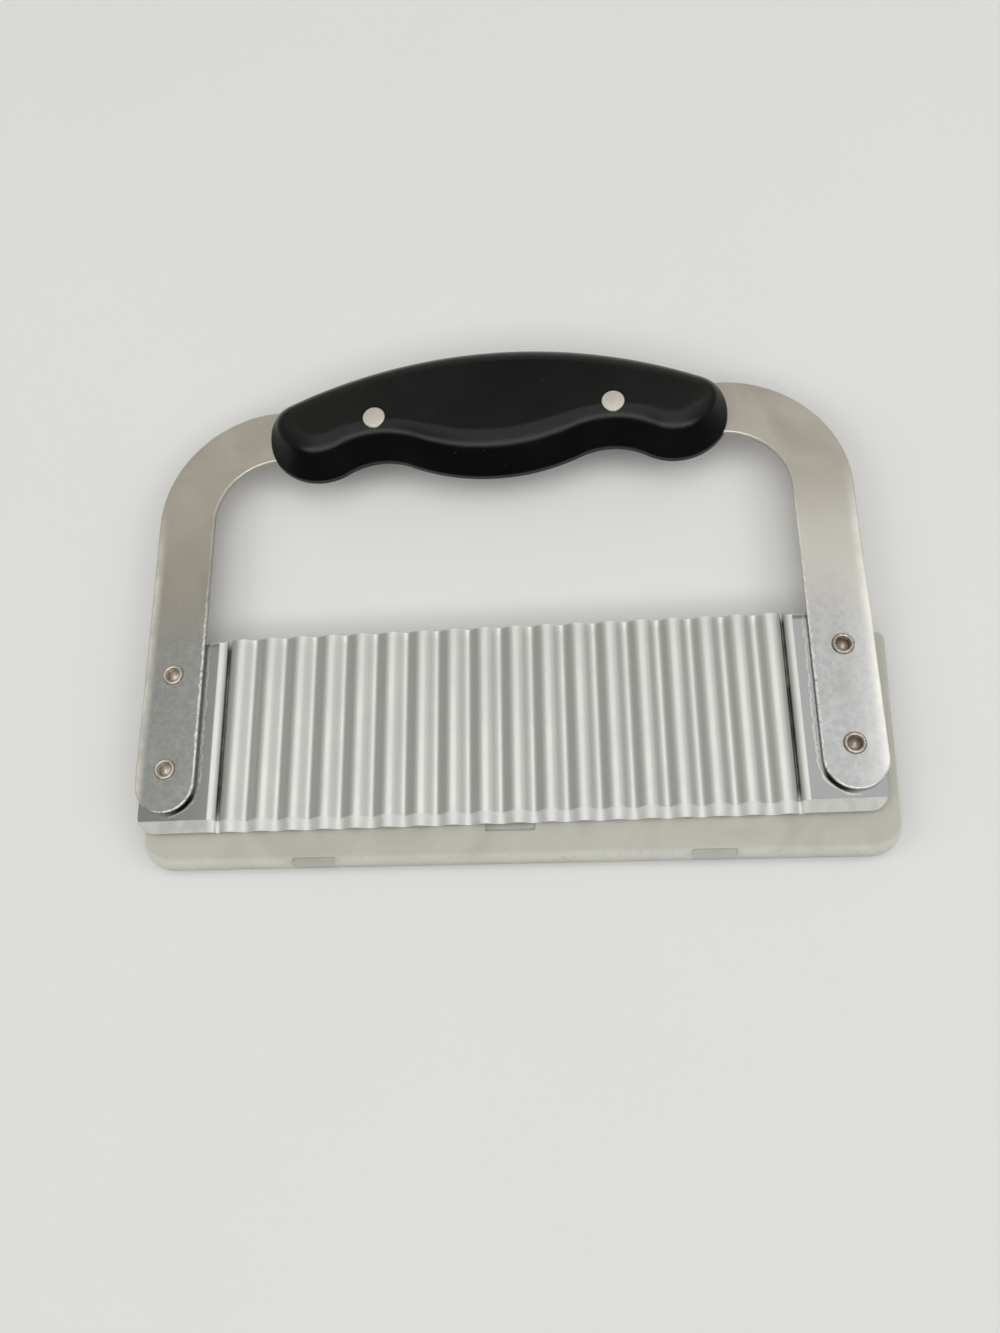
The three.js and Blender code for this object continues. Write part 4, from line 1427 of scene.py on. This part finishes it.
def grip_outline():
    crown = (0.0, grip_top - GRIP_CROWN_RADIUS)
    belly = (0.0, grip_bottom + GRIP_BELLY_RADIUS)
    groove_x = GROOVE_SPACING / 2
    groove = (groove_x, belly[1] - sqrt((GRIP_BELLY_RADIUS + GROOVE_RADIUS) ** 2 - groove_x ** 2))
    end_x = grip_end - GRIP_END_RADIUS
    end = (end_x, crown[1] + sqrt((GRIP_CROWN_RADIUS - GRIP_END_RADIUS) ** 2 - end_x ** 2))
    knob = bump_centre(groove, end)
    half = arc(belly, GRIP_BELLY_RADIUS, BELLY_START, heading(belly, groove))
    half += arc(groove, GROOVE_RADIUS, heading(groove, belly), heading(groove, knob))
    half += arc(knob, BUMP_RADIUS, heading(knob, groove), heading(knob, end))
    half += arc(end, GRIP_END_RADIUS, heading(knob, end), heading(crown, end))
    half += arc(crown, GRIP_CROWN_RADIUS, heading(crown, end), CROWN_END)
    return mirrored(half)


print("points in the grip's outline:", len(grip_outline()))

# %% Grip section
CROWN_ROUNDING = 5.5
FINGER_SHOULDER = 6.2
FINGER_RUN = 7.1
FINGER_SLOPE = 52.0
FINGER_NOSE = 1.0
GROOVE_SHARE = 0.85
GROOVE_REACH = GROOVE_SPACING / 4
SIDE_BLEND = 0.75
GRIP_RIM_STEPS = 16


def smooth(value, low, high):
    share = min(1.0, max(0.0, (value - low) / (high - low)))
    return share * share * (3 - 2 * share)


def finger_section(steps):
    slope = radians(FINGER_SLOPE)
    along, down = cos(slope), sin(slope)
    tall = FINGER_SHOULDER * (1 - along) + FINGER_RUN * down + FINGER_NOSE * along
    deep = FINGER_SHOULDER * down + FINGER_RUN * along + FINGER_NOSE * (1 - down)
    half = steps // 2
    section = []
    for k in range(half + 1):
        tilt = pi / 2 + (slope - pi / 2) * k / half
        section.append((FINGER_NOSE * (1 - sin(tilt)), tall - FINGER_NOSE * cos(tilt), 0.0))
    for k in range(steps - half):
        tilt = slope * (1 - k / (steps - half - 1))
        section.append((deep - FINGER_SHOULDER * sin(tilt), FINGER_SHOULDER * (1 - cos(tilt)), sin(2 * tilt)))
    return section


def grip_rim(point):
    x, out_y = point[0], point[3]
    share = smooth(-out_y, -SIDE_BLEND, SIDE_BLEND)
    off = abs(abs(x) - GROOVE_SPACING / 2)
    reach = GROOVE_SHARE + (1 - GROOVE_SHARE) * smooth(off, 0, GROOVE_REACH)
    crown = round_rim(CROWN_ROUNDING, GRIP_RIM_STEPS)
    finger = [(reach * inset, drop, worn) for inset, drop, worn in finger_section(GRIP_RIM_STEPS)]
    return [tuple(a + (b - a) * share for a, b in zip(*pair)) for pair in zip(crown, finger)]


print("finger side inset in mm:", round(finger_section(GRIP_RIM_STEPS)[-1][0], 2))

# %% [markdown]
# Each scale is a plate with that section. The room for the bar and the seats of the rivet caps
# could be modelled into it, but cutting them out is simpler, because the cutter is the bow's own
# outline with a little clearance. The back scale is the front one, mirrored in the parting plane.

# %% Grip scales
PARTING_RIM = 0.18
CAP_DIAMETER = 6.0
CAP_THICKNESS = 1.5
CAP_CLEARANCE = 0.2
TANG_CLEARANCE = 0.2


def cap_seat(back):
    seat = (CAP_DIAMETER + CAP_CLEARANCE) / 2
    face = 2 * grip_split - grip_face if back else grip_face
    depth = CAP_THICKNESS if back else -CAP_THICKNESS
    return [(0, face - depth, 0), (seat, face - depth, 0), (seat, face + depth, 0), (0, face + depth, 0)]


def grip_scale(name, back):
    bm = plate(grip_outline(), grip_split, grip_face, (PARTING_RIM, grip_rim), steps=GRIP_RIM_STEPS)
    if back:
        middle = Vector((0, 0, grip_split))
        bmesh.ops.scale(bm, vec=(1, 1, -1), space=Matrix.Translation(-middle), verts=bm.verts)
        bmesh.ops.reverse_faces(bm, faces=bm.faces)
    scale = as_object(bm, name)
    gap = TANG_CLEARANCE
    tang = as_object(plate(bow_outline(gap), bar_low - gap, bar_high + gap, (gap, gap)), "tang_room")
    carve(scale, tang, *[turned(cap_seat(back), place, "cap_room") for place in grip_rivets])
    return scale


front_scale = grip_scale("grip_scale_front", back=False)
back_scale = grip_scale("grip_scale_back", back=True)
print("grip scale faces:", len(front_scale.data.polygons), len(back_scale.data.polygons))

# %% [markdown]
# The plastic is black and fairly glossy. Handling dulls it in broad patches, slow waves in the
# moulding make its highlights wander, and there is a little dust and a few scratches. One even
# gloss would look unreal, so the roughness varies, but only a little.

# %% Grip plastic
GRIP_BLACK = (0.0012, 0.0012, 0.0013, 1)
GRIP_HANDLED = (0.0022, 0.0022, 0.0023, 1)
GRIP_SCRATCH = (0.03, 0.03, 0.03, 1)
GRIP_DUST = (0.12, 0.12, 0.115, 1)
GRIP_SPECULAR = 0.36
GRIP_ROUGHNESS = (0.225, 0.255)
WAVES_ROUGHNESS = 0.015
WAVES_RELIEF = 1.5
GRIP_RELIEF = 0.012


def grip_plastic():
    material, tree, shader = new_material("black_grip")
    feed(tree, shader.inputs["Specular IOR Level"], GRIP_SPECULAR)
    waves = place_effect(tree, SMUDGES, Size=9.0)
    handled = place_effect(tree, SMUDGES, Size=26.0)
    marks = place_effect(tree, SCRATCHES, Turn=radians(20), Share=0.10)
    dust = place_effect(tree, SPECKS, Spacing=2.6, Share=0.22)
    colour = tint(tree, handled, GRIP_BLACK, GRIP_HANDLED)
    colour = coat(tree, colour, marks, GRIP_SCRATCH, share=0.5)
    feed(tree, shader.inputs["Base Color"], coat(tree, colour, dust, GRIP_DUST, share=0.35))
    rough = ranged(tree, handled, *GRIP_ROUGHNESS)
    feed(tree, shader.inputs["Roughness"], reckon(tree, "MULTIPLY_ADD", waves, WAVES_ROUGHNESS, rough))
    grain = add(tree, "ShaderNodeTexNoise", Vector=millimetres(tree), Scale=6.0, Detail=3.0)
    relief = reckon(tree, "MULTIPLY_ADD", waves, WAVES_RELIEF, grain.outputs["Fac"])
    bump(tree, shader, relief, GRIP_RELIEF)
    return material


black_grip = grip_plastic()
settle(front_scale, "cutter", "grip_plastic", "grip_front_scale", black_grip)
settle(back_scale, "cutter", "grip_plastic", "grip_back_scale", black_grip)

# %% [markdown]
# ## Grip rivets
# Each is a two-piece rivet: a socket with a flat cap from the front, and a pin with the same
# cap from the back. The caps lie flush in the scales, and their rims are barely broken. They are
# round like the blade rivets, so the same lathe turns them.

# %% Grip rivet profiles
SOCKET_DIAMETER = 3.6
SOCKET_BORE = 2.5
PIN_DIAMETER = 2.0
CAP_RIM = 0.22
CAP_RIM_STEPS = 4
CAP_CROWN = 0.12
CAP_STEPS = 8


def cap_profile(face, inward):
    profile = [(0, face, 0)]
    outer = CAP_DIAMETER / 2
    for share in even_steps(0.0, 1.0, CAP_STEPS):
        profile.append(((outer - CAP_RIM) * share, face + inward * CAP_CROWN * share ** 2, 0))
    for angle in even_steps(0.0, pi / 2, CAP_RIM_STEPS):
        drop = CAP_CROWN + CAP_RIM * (1 - cos(angle))
        profile.append((outer - CAP_RIM * (1 - sin(angle)), face + inward * drop, sin(2 * angle)))
    profile.append((outer, face + inward * CAP_THICKNESS, 0))
    return profile


def socket_profile(low, high):
    tube, bore = SOCKET_DIAMETER / 2, SOCKET_BORE / 2
    under = high - CAP_THICKNESS
    outside = [(tube, under, 0), (tube, low, 0)]
    inside = [(bore, low, 0), (bore, under, 0), (0, under, 0)]
    return cap_profile(high, -1) + outside + inside


def pin_profile(low, high):
    pin = PIN_DIAMETER / 2
    return cap_profile(low, 1) + [(pin, low + CAP_THICKNESS, 0), (pin, high, 0), (0, high, 0)]


print("points in a cap's profile:", len(cap_profile(grip_face, -1)))

# %% Grip rivets
CAP_DARK = (0.78, 0.745, 0.66, 1)
CAP_LIGHT = (0.90, 0.87, 0.79, 1)
CAP_WORN = (0.55, 0.52, 0.45, 1)
CAP_ROUGHNESS = (0.36, 0.52)
CAP_RELIEF = 0.004


def cap_metal():
    material, tree, shader = steel_base("dull_nickel")
    lines = place_effect(tree, BRUSHED, Turn=radians(50), Length=3.0, Width=0.08)
    worn = place_effect(tree, WEAR, Size=0.8, Share=0.7)
    colour = tint(tree, place_effect(tree, MOTTLE, Size=0.6), CAP_DARK, CAP_LIGHT)
    feed(tree, shader.inputs["Base Color"], coat(tree, colour, worn, CAP_WORN))
    feed(tree, shader.inputs["Roughness"], ranged(tree, lines, *CAP_ROUGHNESS))
    bump(tree, shader, lines, CAP_RELIEF)
    return material


dull_nickel = cap_metal()
for side, place in zip(("left", "right"), grip_rivets):
    for part, profile in (("socket", socket_profile), ("pin", pin_profile)):
        node = f"grip_rivet_{side}_{part}"
        low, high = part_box(node)
        cap = turned(profile(low.z / MM, high.z / MM), place, f"cap_{part}_{side}")
        settle(cap, "cutter", "cap_metal", node, dull_nickel)

# %% [markdown]
# ## The guard
# A loose sleeve of milky plastic: two thin walls joined along a rounded closed edge, with the
# web carried round both corners and the ends left open above them. The mould leaves two small
# notches in the closed edge and a thin window behind. A folded sheet with some thickness would
# give the two walls, but not the closed corners. So the outside is a plate whose rim is large
# along the closed edge and small elsewhere, and the pocket, notches and window are cut from it.

# %% Guard outline
GUARD_DEPTH = 53.5
GUARD_HALF_CLOSED = 89.5
GUARD_HALF_MOUTH = 91.0
GUARD_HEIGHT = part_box("blade_guard")[1].z / MM
GUARD_CORNER = 7.0
GUARD_MOUTH_CORNER = 2.0
GUARD_CLOSED_RIM = 2.5
GUARD_RIM = 0.25
GUARD_STEP = 2.0


def guard_outline():
    lean = degrees(atan2(GUARD_DEPTH, GUARD_HALF_MOUTH - GUARD_HALF_CLOSED)) - 90
    out = (cos(radians(lean)), sin(radians(lean)))
    slope = (GUARD_HALF_MOUTH - GUARD_HALF_CLOSED) / GUARD_DEPTH

    def corner_centre(y, radius):
        return GUARD_HALF_CLOSED + slope * y - radius / out[0], y

    def side_point(centre, radius):
        return centre[0] + radius * out[0], centre[1] + radius * out[1]

    corner = corner_centre(GUARD_CORNER, GUARD_CORNER)
    mouth = corner_centre(GUARD_DEPTH - GUARD_MOUTH_CORNER, GUARD_MOUTH_CORNER)
    start, stop = side_point(corner, GUARD_CORNER), side_point(mouth, GUARD_MOUTH_CORNER)
    half = line((OFF_CENTRE, 0), (corner[0], 0), GUARD_STEP)
    half += arc(corner, GUARD_CORNER, -90, lean)
    half += line(start, stop, GUARD_STEP)
    half += arc(mouth, GUARD_MOUTH_CORNER, lean, 90)
    half += line((mouth[0], GUARD_DEPTH), (OFF_CENTRE, GUARD_DEPTH))
    return mirrored(half)


def guard_rim(point):
    return GUARD_RIM + (GUARD_CLOSED_RIM - GUARD_RIM) * smooth(-point[1], -GUARD_CORNER, 0.0)


print("points in the guard's outline:", len(guard_outline()), "height in mm:", round(GUARD_HEIGHT, 2))

# %% Guard pocket
GUARD_WALL = 0.7
GUARD_WEB = 2.4
POCKET_RIM = 0.3
POCKET_STEP = 8.0
CUT_CORNER = 0.5
CUT_RIM = 0.02
RUN_OUT = 6.0


def pocket_outline():
    radius = GUARD_CORNER - GUARD_WEB
    corner_x = GUARD_HALF_CLOSED - GUARD_CORNER
    wide = GUARD_HALF_MOUTH + RUN_OUT
    half = line((OFF_CENTRE, GUARD_WEB), (corner_x, GUARD_WEB))
    half += arc((corner_x, GUARD_CORNER), radius, -90, 0)
    half += line((corner_x + radius, GUARD_CORNER), (wide, GUARD_CORNER), GUARD_STEP)
    half += line((wide, GUARD_CORNER), (wide, GUARD_DEPTH + RUN_OUT))
    half += line((wide, GUARD_DEPTH + RUN_OUT), (OFF_CENTRE, GUARD_DEPTH + RUN_OUT), POCKET_STEP)
    return mirrored(half)


def cut_block(name, middle_x, y_low, y_high, length, depth):
    x_low, x_high, r = middle_x - length / 2, middle_x + length / 2, CUT_CORNER
    loop = line((x_low + r, y_low), (x_high - r, y_low)) + arc((x_high - r, y_low + r), r, -90, 0)
    loop += line((x_high, y_low + r), (x_high, y_high - r)) + arc((x_high - r, y_high - r), r, 0, 90)
    loop += line((x_high - r, y_high), (x_low + r, y_high)) + arc((x_low + r, y_high - r), r, 90, 180)
    loop += line((x_low, y_high - r), (x_low, y_low + r)) + arc((x_low + r, y_low + r), r, 180, 270)
    return as_object(plate(loop, GUARD_HEIGHT - depth, GUARD_HEIGHT + RUN_OUT, (CUT_RIM, CUT_RIM)), name)


print("points in the pocket's outline:", len(pocket_outline()))

# %% Guard shape
GUARD_RIM_STEPS = 8
GUARD_PLACE = (1.9, -24.298)
GUARD_TURN = -0.46
NOTCH_SPACING = 94.5
NOTCH_LENGTH = 10.4
NOTCH_WIDTH = 2.0
NOTCH_DEPTH = 0.8
WINDOW_LENGTH = 12.0
WINDOW_WIDTH = 3.0
WINDOW_INSET = 7.2
WINDOW_DEPTH = 0.55


def guard_shape():
    rims = (guard_rim, guard_rim)
    outside = plate(guard_outline(), 0.0, GUARD_HEIGHT, rims, steps=GUARD_RIM_STEPS)
    sleeve = as_object(outside, "guard_sleeve")
    pocket_rims = (POCKET_RIM, POCKET_RIM)
    pocket = plate(pocket_outline(), GUARD_WALL, GUARD_HEIGHT - GUARD_WALL, pocket_rims)
    cutters = [as_object(pocket, "pocket_room")]
    for side in (-1, 1):
        middle = side * NOTCH_SPACING / 2
        cutters.append(cut_block("notch_room", middle, -RUN_OUT, NOTCH_WIDTH, NOTCH_LENGTH, NOTCH_DEPTH))
    window_end = WINDOW_INSET + WINDOW_WIDTH
    cutters.append(cut_block("window_room", 0.0, WINDOW_INSET, window_end, WINDOW_LENGTH, WINDOW_DEPTH))
    carve(sleeve, *cutters)
    turn = Matrix.Rotation(radians(GUARD_TURN), 4, "Z")
    sleeve.data.transform(Matrix.Translation((*GUARD_PLACE, 0)) @ turn)
    return sleeve


guard = guard_shape()
print("guard faces:", len(guard.data.polygons))

# %% [markdown]
# Milky plastic lets a little light through and scatters it. Full transmission would look like
# glass, so the walls are mostly a scattering surface with a slight see-through share, cloudier
# in patches, and fine scuffs from the drawer dull the gloss. The thin floors of the notches and
# of the window are painted a shade darker, as painted shade in the recesses.

# %% Painted shade in the guard's recesses
END_BORDER = (0.2, -0.4)
NOTCH_BORDER = (0.2, -0.3)
WINDOW_BORDER = (0.1, -0.3)


def within(tree, away, limit, border):
    return spread(tree, away, *[limit + shift for shift in border])


def guard_recess(tree):
    place = axes(tree)
    off = reckon(tree, "ABSOLUTE", reckon(tree, "SUBTRACT", place["X"], GUARD_PLACE[0]))
    inset = reckon(tree, "MULTIPLY_ADD", place["X"], sin(radians(-GUARD_TURN)), place["Y"])
    inset = reckon(tree, "SUBTRACT", inset, GUARD_PLACE[1])
    from_notch = reckon(tree, "ABSOLUTE", reckon(tree, "SUBTRACT", off, NOTCH_SPACING / 2))
    notch = product(tree, within(tree, from_notch, NOTCH_LENGTH / 2, END_BORDER),
                    within(tree, inset, NOTCH_WIDTH, NOTCH_BORDER))
    window_y = WINDOW_INSET + WINDOW_WIDTH / 2
    from_window = reckon(tree, "ABSOLUTE", reckon(tree, "SUBTRACT", inset, window_y))
    window = product(tree, within(tree, off, WINDOW_LENGTH / 2, END_BORDER),
                     within(tree, from_window, WINDOW_WIDTH / 2, WINDOW_BORDER))
    return reckon(tree, "MAXIMUM", notch, window)


print("notches at x in mm:", [side * NOTCH_SPACING / 2 + GUARD_PLACE[0] for side in (-1, 1)])

# %% Guard plastic
MILKY = (0.55, 0.55, 0.485, 1)
MILKY_CLOUDY = (0.59, 0.585, 0.525, 1)
MILKY_WORN = (0.86, 0.86, 0.82, 1)
RECESS_SHADE = (0.44, 0.44, 0.39, 1)
SCATTER_SHARE = 0.35
SCATTER_COLOURS = (1.0, 0.95, 0.8)
SCATTER_DEPTH = 1.5
MILKY_ALPHA = (0.74, 0.82)
MILKY_ROUGHNESS = (0.36, 0.46)
SCUFF_ROUGHNESS = 0.15
MILKY_RELIEF = 0.006


def guard_plastic():
    material, tree, shader = new_material("milky_guard")
    feed(tree, shader.inputs["Subsurface Weight"], SCATTER_SHARE)
    feed(tree, shader.inputs["Subsurface Radius"], SCATTER_COLOURS)
    feed(tree, shader.inputs["Subsurface Scale"], SCATTER_DEPTH * MM)
    cloudy = place_effect(tree, SMUDGES, Size=18.0)
    grain = place_effect(tree, MOTTLE, Size=0.5)
    marks = place_effect(tree, SCRATCHES, Turn=radians(12), Share=0.14)
    worn = place_effect(tree, WEAR, Size=1.5, Share=0.6)
    colour = tint(tree, cloudy, MILKY, MILKY_CLOUDY)
    colour = coat(tree, colour, worn, MILKY_WORN, share=0.4)
    # Painted shade on the floors of the notches and the window.
    feed(tree, shader.inputs["Base Color"], coat(tree, colour, guard_recess(tree), RECESS_SHADE, share=0.45))
    feed(tree, shader.inputs["Alpha"], ranged(tree, cloudy, *MILKY_ALPHA))
    rough = ranged(tree, grain, *MILKY_ROUGHNESS)
    feed(tree, shader.inputs["Roughness"], reckon(tree, "MULTIPLY_ADD", marks, SCUFF_ROUGHNESS, rough))
    bump(tree, shader, grain, MILKY_RELIEF)
    return material


settle(guard, "guard", "guard_plastic", "blade_guard", guard_plastic())
